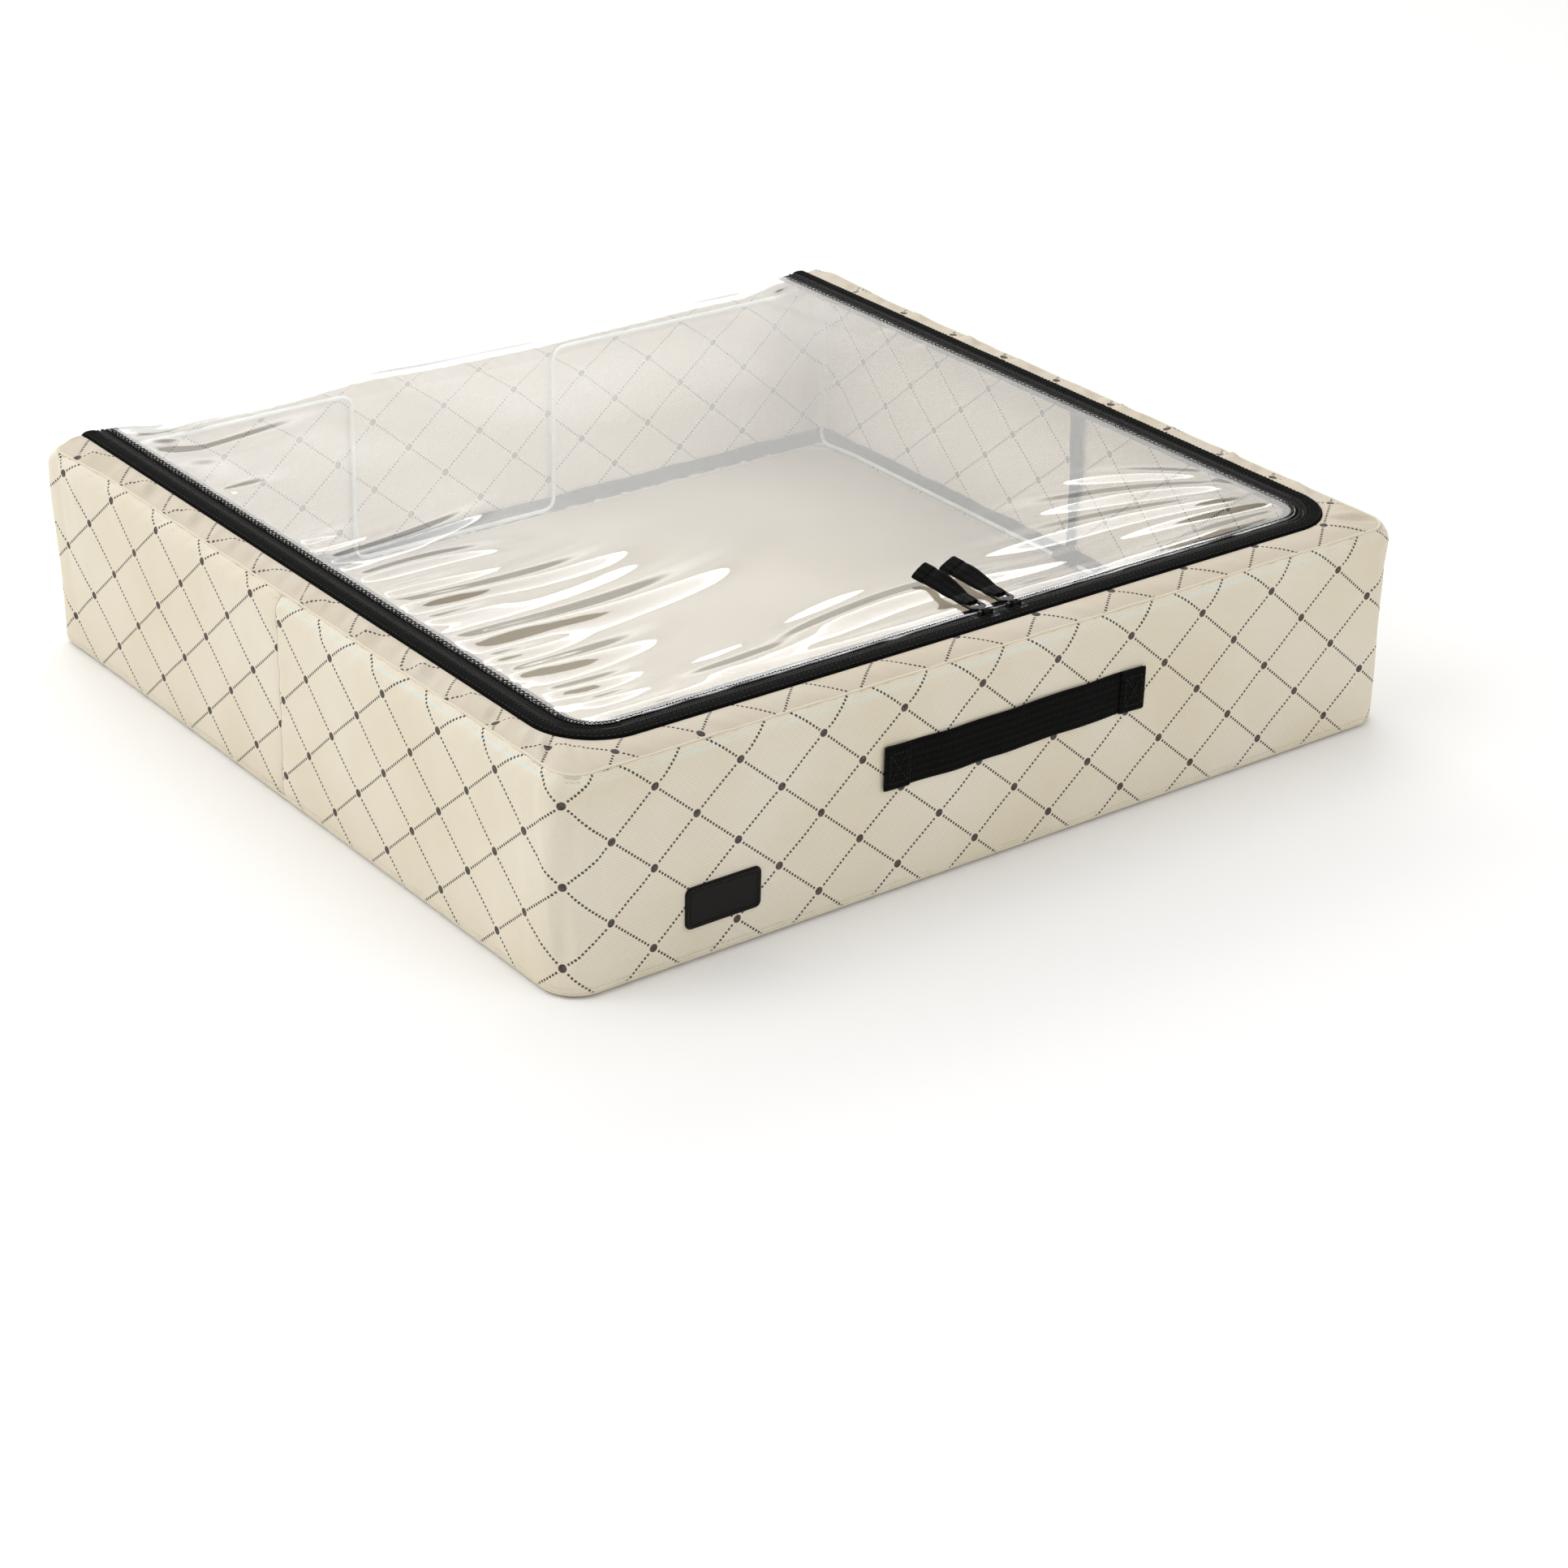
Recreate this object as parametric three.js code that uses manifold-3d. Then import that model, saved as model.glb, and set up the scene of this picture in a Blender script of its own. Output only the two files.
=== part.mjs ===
// Under bed storage box: a soft fabric tray on a sprung wire frame, closed by a clear zipped window.
// Millimetres, +Z up, +X to the right along the front, +Y to the rear.
// The origin is at the bottom centre of the whole object.
import * as THREE from 'three';
import { mergeVertices } from 'three/addons/utils/BufferGeometryUtils.js';
import Module from 'manifold-3d';

const wasm = await Module();
wasm.setup();

// Driving dimensions
const WIDTH = 610;
const DEPTH = 562;
const FRONT_PROUD = 3.0;
const REAR_PROUD = 0.9;
const GAP = 0.3;

const HALF_WIDTH = WIDTH / 2;
const FRONT_Y = -(DEPTH + FRONT_PROUD + REAR_PROUD) / 2 + FRONT_PROUD;
const REAR_Y = FRONT_Y + DEPTH;
const CORNER_RADIUS = 22;
const SEAM_Y = 10;

const FABRIC = 1.0;
const WALL_BOTTOM = FABRIC + GAP;
const WALL_TOP = 131.0;
const BAND_BOTTOM = WALL_TOP + GAP;
const BAND_TOP = BAND_BOTTOM + 1.2;
const SIDE_BAND = 22;
const FRONT_BAND = 24;

// The zipper runs down the left, across the front and up the right, as nested offsets of one path
const ZIP_HALF = HALF_WIDTH - SIDE_BAND;
const ZIP_FRONT = FRONT_Y + FRONT_BAND;
const ZIP_RADIUS = 40;
const ZIP_WIDTH = 24;
const ZIP_MIDDLE = ZIP_WIDTH / 2;
const TAPE_PARTING = 2.0;
const TAPE_BOTTOM = BAND_BOTTOM;
const TAPE_TOP = TAPE_BOTTOM + 0.8;
const TAPE_END = REAR_Y - 1;
const COIL_WIDTH = 1.4;
const COIL_HEIGHT = 1.4;
const COIL_TOP = TAPE_BOTTOM - GAP;

const FILM_START = 19;
const FILM_BOTTOM = TAPE_TOP + GAP;
const FILM_TOP = FILM_BOTTOM + 0.6;
const FILM_END = REAR_Y - 0.5;

const BINDING = 0.8;
const FLOOR_BINDING_TOP = 12;
const TOP_BINDING_BOTTOM = 122.5;
const INNER_FACE = FABRIC + GAP;

const WIRE_RADIUS = 1.5;
const WIRE_SIDES = 8;
const WIRE_FLOOR_Z = 4.0;
const WIRE_TOP_Z = 120;
const WIRE_SIDE_X = 299.8;
const POST_INSET = 9.5;
const FRONT_WIRE_INSET = 3.0;
const REAR_WIRE_INSET = 4.0;
const BEND_RADIUS = 9;
const STEP_DOWN_LEFT = -92;
const STEP_UP_RIGHT = 66;
const SLEEVE_LENGTH = 24;

const BOARD_INSET = 9;
const BOARD_BOTTOM = FABRIC + GAP;
const BOARD_THICKNESS = 2.5;
const BOARD_RADIUS = 30;

const HANDLE_LENGTH = 191;
const HANDLE_WIDTH = 26;
const HANDLE_Z = 80;
const HANDLE_END = 18;
const STRAP = 1.2;
const HANDLE_BOW = 1.5;

const LABEL_X = -202.5;
const LABEL_Z = 34;
const LABEL_SIZE = [50, 25];

const SLIDER_X = [5, 26];
const SLIDER_Y = ZIP_FRONT + ZIP_MIDDLE;
const SLIDER_LENGTH = 16;
const SLIDER_WIDTH = 12;
const SLIDER_BOTTOM = TAPE_TOP + GAP;
const SLIDER_TOP = SLIDER_BOTTOM + 1.2;
const BAR_Z = SLIDER_TOP + 2.2;
const BAR_RADIUS = 0.8;
const BAR_HALF = 4;
const TAB_WIDTH = 11;
const TAB_LENGTH = 14;
const TAB_THICKNESS = 1.2;
const PULL_WIDTH = 12;
const PULL_LENGTH = 45;
const PULL_THICKNESS = 2.6;

// Finishes
const finish = (color, roughness, metalness = 0) => ({ color, roughness, metalness });
const CANVAS = finish(0xe1dac8, 0.9);
const BLACK_TAPE = finish(0x141414, 0.85);
const BLACK_METAL = finish(0x1b1b1d, 0.35, 0.7);
const CLEAR_FILM = finish(0xeef1f2, 0.06);
const WIRE_COAT = finish(0xd5dcd9, 0.4, 0.3);
const BOARD = finish(0xc9c0b2, 0.7);
const SOFT_RUBBER = finish(0x17181a, 0.6);

const box = new THREE.Group();

function add(name, geometry, look) {
  const mesh = new THREE.Mesh(geometry, new THREE.MeshStandardMaterial(look));
  mesh.name = name;
  box.add(mesh);
  return mesh;
}

// Booleans
function solid(geometry) {
  const bare = geometry.clone();
  bare.deleteAttribute('normal');
  bare.deleteAttribute('uv');
  const merged = mergeVertices(bare, 1e-4);
  const vertProperties = new Float32Array(merged.attributes.position.array);
  const triVerts = new Uint32Array(merged.index.array);
  return new wasm.Manifold(new wasm.Mesh({ numProp: 3, vertProperties, triVerts }));
}

function geometryOf(manifold) {
  const mesh = manifold.getMesh();
  const geometry = new THREE.BufferGeometry();
  geometry.setAttribute('position', new THREE.BufferAttribute(mesh.vertProperties, 3));
  geometry.setIndex(new THREE.BufferAttribute(mesh.triVerts, 1));
  geometry.computeVertexNormals();
  return geometry;
}

function union(...geometries) {
  const whole = geometries.map(solid).reduce((sum, next) => sum.add(next));
  return geometryOf(whole);
}

function cut(geometry, ...tools) {
  const rest = tools.map(solid).reduce((left, tool) => left.subtract(tool), solid(geometry));
  return geometryOf(rest);
}

// Plain shapes
function slab(shape, bottom, top) {
  const options = { depth: top - bottom, bevelEnabled: false, curveSegments: 8 };
  return new THREE.ExtrudeGeometry(shape, options).translate(0, 0, bottom);
}

function block(low, high) {
  const size = low.map((value, i) => high[i] - value);
  const middle = low.map((value, i) => (high[i] + value) / 2);
  return new THREE.BoxGeometry(...size).translate(...middle);
}

function rodAlongX(radius, length, sides = 12) {
  return new THREE.CylinderGeometry(radius, radius, length, sides).rotateZ(Math.PI / 2);
}

function roundedRectangle(halfWidth, frontY, rearY, radius) {
  const right = halfWidth - radius;
  const front = frontY + radius;
  const rear = rearY - radius;
  const shape = new THREE.Shape();
  shape.absarc(-right, front, radius, Math.PI, 1.5 * Math.PI);
  shape.absarc(right, front, radius, 1.5 * Math.PI, 2 * Math.PI);
  shape.absarc(right, rear, radius, 0, 0.5 * Math.PI);
  shape.absarc(-right, rear, radius, 0.5 * Math.PI, Math.PI);
  shape.closePath();
  return shape;
}

// A U seen from above, from its left end to its closed side and back to its right end
function openU(halfWidth, closedY, endY, radius) {
  const inward = Math.sign(endY - closedY);
  const path = new THREE.Path();
  const centreY = closedY + inward * radius;
  const centreX = halfWidth - radius;
  const side = inward > 0;
  const middle = side ? 1.5 * Math.PI : 0.5 * Math.PI;
  path.moveTo(-halfWidth, endY);
  path.lineTo(-halfWidth, centreY);
  path.absarc(-centreX, centreY, radius, Math.PI, middle, !side);
  path.absarc(centreX, centreY, radius, middle, side ? 2 * Math.PI : 0, !side);
  path.lineTo(halfWidth, endY);
  return path.getPoints(8);
}

function between(outer, inner) {
  return new THREE.Shape([...outer, ...inner.slice().reverse()]);
}

// A strip that stands inside the walls' outer face, from one offset to another
function wallStrip(closedY, endY, from, to) {
  const inward = Math.sign(endY - closedY);
  const line = (inset) =>
    openU(HALF_WIDTH - inset, closedY + inward * inset, endY, CORNER_RADIUS - inset);
  return between(line(from), line(to));
}

// A strip that follows the zipper, from one distance inside its outer edge to another
function zipStrip(from, to) {
  const line = (inset) => openU(ZIP_HALF - inset, ZIP_FRONT + inset, TAPE_END, ZIP_RADIUS - inset);
  return between(line(from), line(to));
}

// Fabric tray
function bottomPanel() {
  return slab(roundedRectangle(HALF_WIDTH, FRONT_Y, REAR_Y, CORNER_RADIUS), 0, FABRIC);
}

function topBand() {
  const shape = roundedRectangle(HALF_WIDTH, FRONT_Y, REAR_Y, CORNER_RADIUS);
  const whole = slab(shape, BAND_BOTTOM, BAND_TOP);
  const mouth = openU(ZIP_HALF, ZIP_FRONT, REAR_Y + 5, ZIP_RADIUS);
  return cut(whole, slab(new THREE.Shape(mouth), BAND_BOTTOM - 5, BAND_TOP + 5));
}

add('bottom_panel', bottomPanel(), CANVAS);
const frontStrip = wallStrip(FRONT_Y, SEAM_Y - GAP / 2, 0, FABRIC);
add('front_wall', slab(frontStrip, WALL_BOTTOM, WALL_TOP), CANVAS);
const rearStrip = wallStrip(REAR_Y, SEAM_Y + GAP / 2, 0, FABRIC);
add('rear_wall', slab(rearStrip, WALL_BOTTOM, WALL_TOP), CANVAS);
add('top_band', topBand(), CANVAS);

// Bindings sewn over the seams inside the tray
function floorBinding() {
  const ring = (inset) => {
    const radius = CORNER_RADIUS - inset;
    return roundedRectangle(HALF_WIDTH - inset, FRONT_Y + inset, REAR_Y - inset, radius);
  };
  const shape = ring(INNER_FACE);
  shape.holes.push(ring(INNER_FACE + BINDING));
  return slab(shape, WALL_BOTTOM, FLOOR_BINDING_TOP);
}

function sideBinding(side) {
  const bottom = FLOOR_BINDING_TOP + GAP;
  const top = TOP_BINDING_BOTTOM - GAP;
  const shape = new THREE.Shape();
  shape.moveTo(-3.5, bottom);
  shape.lineTo(3.5, bottom);
  shape.lineTo(4, 90);
  shape.lineTo(7, top);
  shape.lineTo(-7, top);
  shape.lineTo(-4, 90);
  shape.closePath();
  const strip = new THREE.ExtrudeGeometry(shape, { depth: BINDING, bevelEnabled: false });
  strip.rotateX(Math.PI / 2).rotateZ(Math.PI / 2);
  const innerX = HALF_WIDTH - INNER_FACE - BINDING;
  return strip.translate(side > 0 ? innerX : -innerX - BINDING, SEAM_Y, 0);
}

add('floor_binding', floorBinding(), BLACK_TAPE);
const topBindingStrip = wallStrip(FRONT_Y, REAR_Y - CORNER_RADIUS, INNER_FACE, INNER_FACE + BINDING);
add('top_binding', slab(topBindingStrip, TOP_BINDING_BOTTOM, WALL_TOP - GAP), BLACK_TAPE);
add('side_binding_left', sideBinding(-1), BLACK_TAPE);
add('side_binding_right', sideBinding(1), BLACK_TAPE);

// Wire frame: straight runs joined by round bends
class WireRoute extends THREE.Curve {
  constructor(corners, radius) {
    super();
    this.line = [corners[0]];
    for (let i = 1; i < corners.length - 1; i += 1) {
      this.bend(corners[i - 1], corners[i], corners[i + 1], radius);
    }
    this.line.push(corners[corners.length - 1]);
  }

  bend(before, corner, after, radius) {
    const back = before.clone().sub(corner).normalize();
    const ahead = after.clone().sub(corner).normalize();
    const reach = Math.min(radius, radius / Math.tan(back.angleTo(ahead) / 2));
    const start = corner.clone().addScaledVector(back, reach);
    const end = corner.clone().addScaledVector(ahead, reach);
    const turn = new THREE.QuadraticBezierCurve3(start, corner, end);
    this.line.push(...turn.getPoints(reach < 3 ? 1 : 4));
  }

  getPoint(t, target = new THREE.Vector3()) {
    const place = Math.min(Math.max(t, 0), 1) * (this.line.length - 1);
    const index = Math.min(Math.floor(place), this.line.length - 2);
    return target.lerpVectors(this.line[index], this.line[index + 1], place - index);
  }

  getPointAt(u, target) {
    return this.getPoint(u, target);
  }
}

function wire(corners) {
  const route = new WireRoute(corners.map((corner) => new THREE.Vector3(...corner)), BEND_RADIUS);
  const section = new THREE.Shape();
  section.absarc(0, 0, WIRE_RADIUS, 0, 2 * Math.PI);
  const steps = route.line.length - 1;
  const options = { steps, extrudePath: route, curveSegments: WIRE_SIDES / 2 };
  return new THREE.ExtrudeGeometry(section, options);
}

// The corners of the right half of one wire, from its floor end at the side seam to its top run
function halfWire(wallY, inset, seamEnd) {
  const inward = -Math.sign(wallY);
  const postX = HALF_WIDTH - POST_INSET;
  const postY = wallY + inward * POST_INSET;
  return [
    [WIRE_SIDE_X, seamEnd, WIRE_FLOOR_Z],
    [WIRE_SIDE_X, wallY + inward * 40, WIRE_FLOOR_Z],
    [postX, postY, WIRE_FLOOR_Z],
    [postX, postY, WIRE_TOP_Z],
    [HALF_WIDTH - 43, wallY + inward * inset, WIRE_TOP_Z],
  ];
}

function mirrored(corners) {
  return corners.map(([x, y, z]) => [-x, y, z]).reverse();
}

const frontHalf = halfWire(FRONT_Y, FRONT_WIRE_INSET, SEAM_Y - GAP);
add('front_frame_wire', wire([...frontHalf, ...mirrored(frontHalf)]), WIRE_COAT);

const rearHalf = halfWire(REAR_Y, REAR_WIRE_INSET, SEAM_Y + GAP);
const stepY = REAR_Y - REAR_WIRE_INSET;
const steppedRun = [
  [STEP_UP_RIGHT, stepY, WIRE_TOP_Z],
  [STEP_UP_RIGHT, stepY, WIRE_FLOOR_Z],
  [STEP_DOWN_LEFT, stepY, WIRE_FLOOR_Z],
  [STEP_DOWN_LEFT, stepY, WIRE_TOP_Z],
];
add('rear_frame_wire', wire([...rearHalf, ...steppedRun, ...mirrored(rearHalf)]), WIRE_COAT);

// Sleeves that join the two wires at the side seams
function sleeve(side) {
  const inner = WIRE_RADIUS + GAP;
  const outer = inner + 0.8;
  const half = SLEEVE_LENGTH / 2;
  const profile = [
    [inner, -half],
    [outer, -half],
    [outer, half],
    [inner, half],
    [inner, -half],
  ].map(([radius, along]) => new THREE.Vector2(radius, along));
  return new THREE.LatheGeometry(profile, 16).translate(side * WIRE_SIDE_X, SEAM_Y, WIRE_FLOOR_Z);
}

add('frame_sleeve_left', sleeve(-1), SOFT_RUBBER);
add('frame_sleeve_right', sleeve(1), SOFT_RUBBER);

// Loose stiffening board that lifts out
function baseBoard() {
  const shape = roundedRectangle(
    HALF_WIDTH - BOARD_INSET,
    FRONT_Y + BOARD_INSET,
    REAR_Y - BOARD_INSET,
    BOARD_RADIUS,
  );
  return slab(shape, BOARD_BOTTOM, BOARD_BOTTOM + BOARD_THICKNESS);
}

add('base_board', baseBoard(), BOARD);

// Zipper: each half is a woven tape with a coil sewn under its meeting edge
const OUTER_EDGE = ZIP_MIDDLE - TAPE_PARTING / 2;
const INNER_EDGE = ZIP_MIDDLE + TAPE_PARTING / 2;
const COIL_BOTTOM = COIL_TOP - COIL_HEIGHT;
add('outer_zip_tape', slab(zipStrip(GAP, OUTER_EDGE), TAPE_BOTTOM, TAPE_TOP), BLACK_TAPE);
const outerCoil = zipStrip(OUTER_EDGE - COIL_WIDTH, OUTER_EDGE);
add('outer_zip_coil', slab(outerCoil, COIL_BOTTOM, COIL_TOP), BLACK_TAPE);
add('inner_zip_tape', slab(zipStrip(INNER_EDGE, ZIP_WIDTH), TAPE_BOTTOM, TAPE_TOP), BLACK_TAPE);
const innerCoil = zipStrip(INNER_EDGE, INNER_EDGE + COIL_WIDTH);
add('inner_zip_coil', slab(innerCoil, COIL_BOTTOM, COIL_TOP), BLACK_TAPE);

function zipEnd(side) {
  const near = ZIP_HALF - GAP;
  const far = ZIP_HALF - OUTER_EDGE;
  const low = [Math.min(side * near, side * far), TAPE_END - 9, TAPE_TOP + GAP];
  const high = [Math.max(side * near, side * far), TAPE_END, TAPE_TOP + GAP + 1];
  return block(low, high);
}

add('zip_end_left', zipEnd(-1), BLACK_TAPE);
add('zip_end_right', zipEnd(1), BLACK_TAPE);

// Clear window, sewn over the inner tape and hinged along the rear wall's top edge
function clearWindow() {
  const half = ZIP_HALF - FILM_START;
  const outline = openU(half, ZIP_FRONT + FILM_START, FILM_END, ZIP_RADIUS - FILM_START);
  return slab(new THREE.Shape(outline), FILM_BOTTOM, FILM_TOP);
}

add('clear_window', clearWindow(), CLEAR_FILM);
const hemHalf = ZIP_HALF - FILM_START;
const hemLow = [-hemHalf, REAR_Y + GAP, WALL_TOP - 13];
const hemHigh = [hemHalf, REAR_Y + REAR_PROUD, WALL_TOP + 0.6];
add('rear_window_hem', block(hemLow, hemHigh), CLEAR_FILM);

// Carrying handle: a webbing strap with a doubled, box-stitched end at each side
function handleStrap() {
  const half = HANDLE_LENGTH / 2;
  const free = half - HANDLE_END;
  const bow = (x) => (Math.abs(x) < free ? HANDLE_BOW * Math.cos((Math.PI * x) / (2 * free)) ** 2 : 0);
  const xs = [-half];
  for (let i = 0; i <= 12; i += 1) xs.push(-free + (2 * free * i) / 12);
  xs.push(half);
  const face = (depth) => xs.map((x) => new THREE.Vector2(x, FRONT_Y - depth - bow(x)));
  const shape = between(face(GAP + STRAP), face(GAP));
  const low = HANDLE_Z - HANDLE_WIDTH / 2;
  return slab(shape, low, low + HANDLE_WIDTH);
}

function handleEnd(side) {
  const outer = (side * HANDLE_LENGTH) / 2;
  const inner = outer - side * HANDLE_END;
  const low = [Math.min(outer, inner), FRONT_Y - FRONT_PROUD, HANDLE_Z - HANDLE_WIDTH / 2];
  const high = [Math.max(outer, inner), low[1] + STRAP, HANDLE_Z + HANDLE_WIDTH / 2];
  return block(low, high);
}

add('handle_strap', handleStrap(), BLACK_TAPE);
add('handle_end_left', handleEnd(-1), BLACK_TAPE);
add('handle_end_right', handleEnd(1), BLACK_TAPE);

// Blank moulded patch with a raised border
function labelPatch() {
  const [width, height] = LABEL_SIZE;
  const plate = roundedRectangle(width / 2, -height / 2, height / 2, 4);
  const border = roundedRectangle(width / 2, -height / 2, height / 2, 4);
  border.holes.push(roundedRectangle(width / 2 - 1.6, 1.6 - height / 2, height / 2 - 1.6, 2.4));
  const patch = union(slab(plate, 0, 1.2), slab(border, 0.8, 1.8));
  return patch.rotateX(Math.PI / 2).translate(LABEL_X, FRONT_Y - GAP, LABEL_Z);
}

add('label_patch', labelPatch(), SOFT_RUBBER);

// Slider: a top plate over both tapes, a web between them and a lower plate under the inner coil
function sliderBody() {
  const halfLength = SLIDER_LENGTH / 2;
  const halfWidth = SLIDER_WIDTH / 2;
  const top = slab(roundedRectangle(halfLength, -halfWidth, halfWidth, 3), SLIDER_BOTTOM, SLIDER_TOP);
  const webHalf = TAPE_PARTING / 2 - GAP;
  const plateTop = COIL_BOTTOM - GAP;
  const web = block([-3, -webHalf, plateTop - 1], [3, webHalf, SLIDER_BOTTOM + 0.5]);
  const lower = block([-halfLength, -webHalf, plateTop - 1.1], [halfLength, halfWidth, plateTop]);
  const bar = rodAlongX(BAR_RADIUS, 2 * BAR_HALF).translate(0, 0, BAR_Z);
  const leg = (x) => block([x - 1, -1, SLIDER_TOP - 0.5], [x + 1, 1, BAR_Z + BAR_RADIUS]);
  return union(top, web, lower, bar, leg(-BAR_HALF), leg(BAR_HALF));
}

// Metal tab that swings on the slider's bar, with a window for the webbing
function pullTab() {
  const half = TAB_WIDTH / 2;
  const outline = new THREE.Shape();
  outline.moveTo(-2, 0);
  outline.lineTo(2, 0);
  outline.lineTo(2, 3.5);
  outline.lineTo(half, 6);
  outline.lineTo(half, TAB_LENGTH);
  outline.lineTo(-half, TAB_LENGTH);
  outline.lineTo(-half, 6);
  outline.lineTo(-2, 3.5);
  outline.closePath();
  const window = new THREE.Path();
  window.moveTo(-half + 2, 7.5);
  window.lineTo(-half + 2, TAB_LENGTH - 1.8);
  window.lineTo(half - 2, TAB_LENGTH - 1.8);
  window.lineTo(half - 2, 7.5);
  window.closePath();
  outline.holes.push(window);
  const plate = slab(outline, -TAB_THICKNESS / 2, TAB_THICKNESS / 2);
  const knuckle = rodAlongX(BAR_RADIUS + GAP + 0.8, 4);
  const bore = rodAlongX(BAR_RADIUS + GAP, 12);
  return cut(union(plate, knuckle), bore);
}

function pullWebbing() {
  const start = TAB_LENGTH + GAP;
  const flat = roundedRectangle(PULL_WIDTH / 2, start, start + PULL_LENGTH, 1.5);
  return slab(flat, -PULL_THICKNESS / 2, PULL_THICKNESS / 2);
}

['left', 'right'].forEach((side, i) => {
  add(`slider_${side}`, sliderBody(), BLACK_METAL).position.set(SLIDER_X[i], SLIDER_Y, 0);
  add(`pull_tab_${side}`, pullTab(), BLACK_METAL).position.set(SLIDER_X[i], SLIDER_Y, BAR_Z);
  add(`pull_webbing_${side}`, pullWebbing(), BLACK_TAPE).position.set(SLIDER_X[i], SLIDER_Y, BAR_Z);
});

export default box;
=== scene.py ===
"""Looks of a fabric under-bed box: printed cloth on a wire frame, a zipped lid of clear film, trim.

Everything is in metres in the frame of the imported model: +X right, +Y to the rear, +Z up, with
the floor at z = 0.
"""
import math
import random

import bpy
import numpy as np
from mathutils import Matrix, Vector


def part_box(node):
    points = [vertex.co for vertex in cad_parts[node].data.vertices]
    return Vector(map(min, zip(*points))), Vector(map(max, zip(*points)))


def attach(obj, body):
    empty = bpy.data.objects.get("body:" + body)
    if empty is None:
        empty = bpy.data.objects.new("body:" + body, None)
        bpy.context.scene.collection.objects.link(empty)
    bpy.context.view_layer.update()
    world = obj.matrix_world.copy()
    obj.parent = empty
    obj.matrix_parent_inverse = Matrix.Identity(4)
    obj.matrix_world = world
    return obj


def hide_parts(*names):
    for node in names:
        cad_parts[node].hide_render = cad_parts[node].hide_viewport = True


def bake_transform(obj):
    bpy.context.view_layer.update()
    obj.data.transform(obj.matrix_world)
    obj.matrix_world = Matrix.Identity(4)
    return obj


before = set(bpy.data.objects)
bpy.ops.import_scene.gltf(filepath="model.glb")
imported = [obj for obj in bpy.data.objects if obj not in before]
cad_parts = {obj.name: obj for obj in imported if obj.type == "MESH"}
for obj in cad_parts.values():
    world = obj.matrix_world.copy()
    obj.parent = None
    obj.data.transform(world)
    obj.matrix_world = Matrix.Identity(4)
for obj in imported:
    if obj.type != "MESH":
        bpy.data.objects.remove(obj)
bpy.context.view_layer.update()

MM = 0.001

# Sizes read from the frame
wall_low, wall_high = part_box("front_wall")
rear_low, rear_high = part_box("rear_wall")
zip_low, zip_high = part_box("outer_zip_tape")
film_low, film_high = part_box("clear_window")
HALF_WIDTH = wall_high.x
FRONT_Y = wall_low.y
REAR_Y = rear_high.y
SIDE_SEAM_Y = (wall_high.y + rear_low.y) / 2
ZIP_HALF = zip_high.x + 0.3 * MM
ZIP_FRONT = zip_low.y - 0.3 * MM
ZIP_END = zip_high.y
FILM_HALF = film_high.x
FILM_FRONT = film_low.y
FILM_REAR = film_high.y
WIRE_TOP_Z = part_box("front_frame_wire")[1].z - 1.5 * MM

# Sizes of the sewing
CORNER_RADIUS = 22 * MM
REAR_RADIUS = 10 * MM
ZIP_RADIUS = 40 * MM
CLOTH = 0.8 * MM
BOTTOM_Z = 1.3 * MM
BOTTOM_ROLL = 3.5 * MM
SHOULDER_Z = 119 * MM
SHOULDER_RADIUS = 12 * MM
SHOULDER_ANGLE = math.radians(58)
SEAM_INSET = SHOULDER_RADIUS * (1 - math.cos(SHOULDER_ANGLE))
SEAM_Z = SHOULDER_Z + SHOULDER_RADIUS * math.sin(SHOULDER_ANGLE)
RIM_INNER_Z = 132.6 * MM
FILM_Z = 133.5 * MM
WEBBING = 1.1 * MM

# The print: dots on a diamond lattice, joined by lines of small marks
LATTICE_U = 27.7 * MM
LATTICE_V = 24.04 * MM
DOT_RADIUS = 2.45 * MM
MARK_RADIUS = 0.80 * MM
MARK_PITCH = 0.0678
MARKS = 12
FRONT_DOT_ROW_Z = 113.85 * MM
REAR_DOT_ROW_Z = 120.6 * MM


# ---------------------------------------------------------------- numbers along cloth

def smooth(x, low, high):
    """0 below low, 1 above high, with an even curve between them."""
    part = np.clip((x - low) / (high - low), 0.0, 1.0)
    return part * part * (3 - 2 * part)


def hump(x, centre, half_width):
    """A bell curve, 1 at its centre."""
    return np.exp(-(((x - centre) / half_width) ** 2))


def waves(x, wavelength, seed):
    """Smooth irregular waves from about -1 to 1, the same on each run."""
    draw = random.Random(seed)
    total = 0.0
    weight = 0.0
    for octave in range(4):
        share = 1 / (1 + octave)
        turn = x / wavelength * (1 + 0.83 * octave) + draw.random()
        total = total + share * np.sin(2 * math.pi * turn)
        weight += share
    return total / weight * 1.6


# ---------------------------------------------------------------- outlines seen from above

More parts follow.
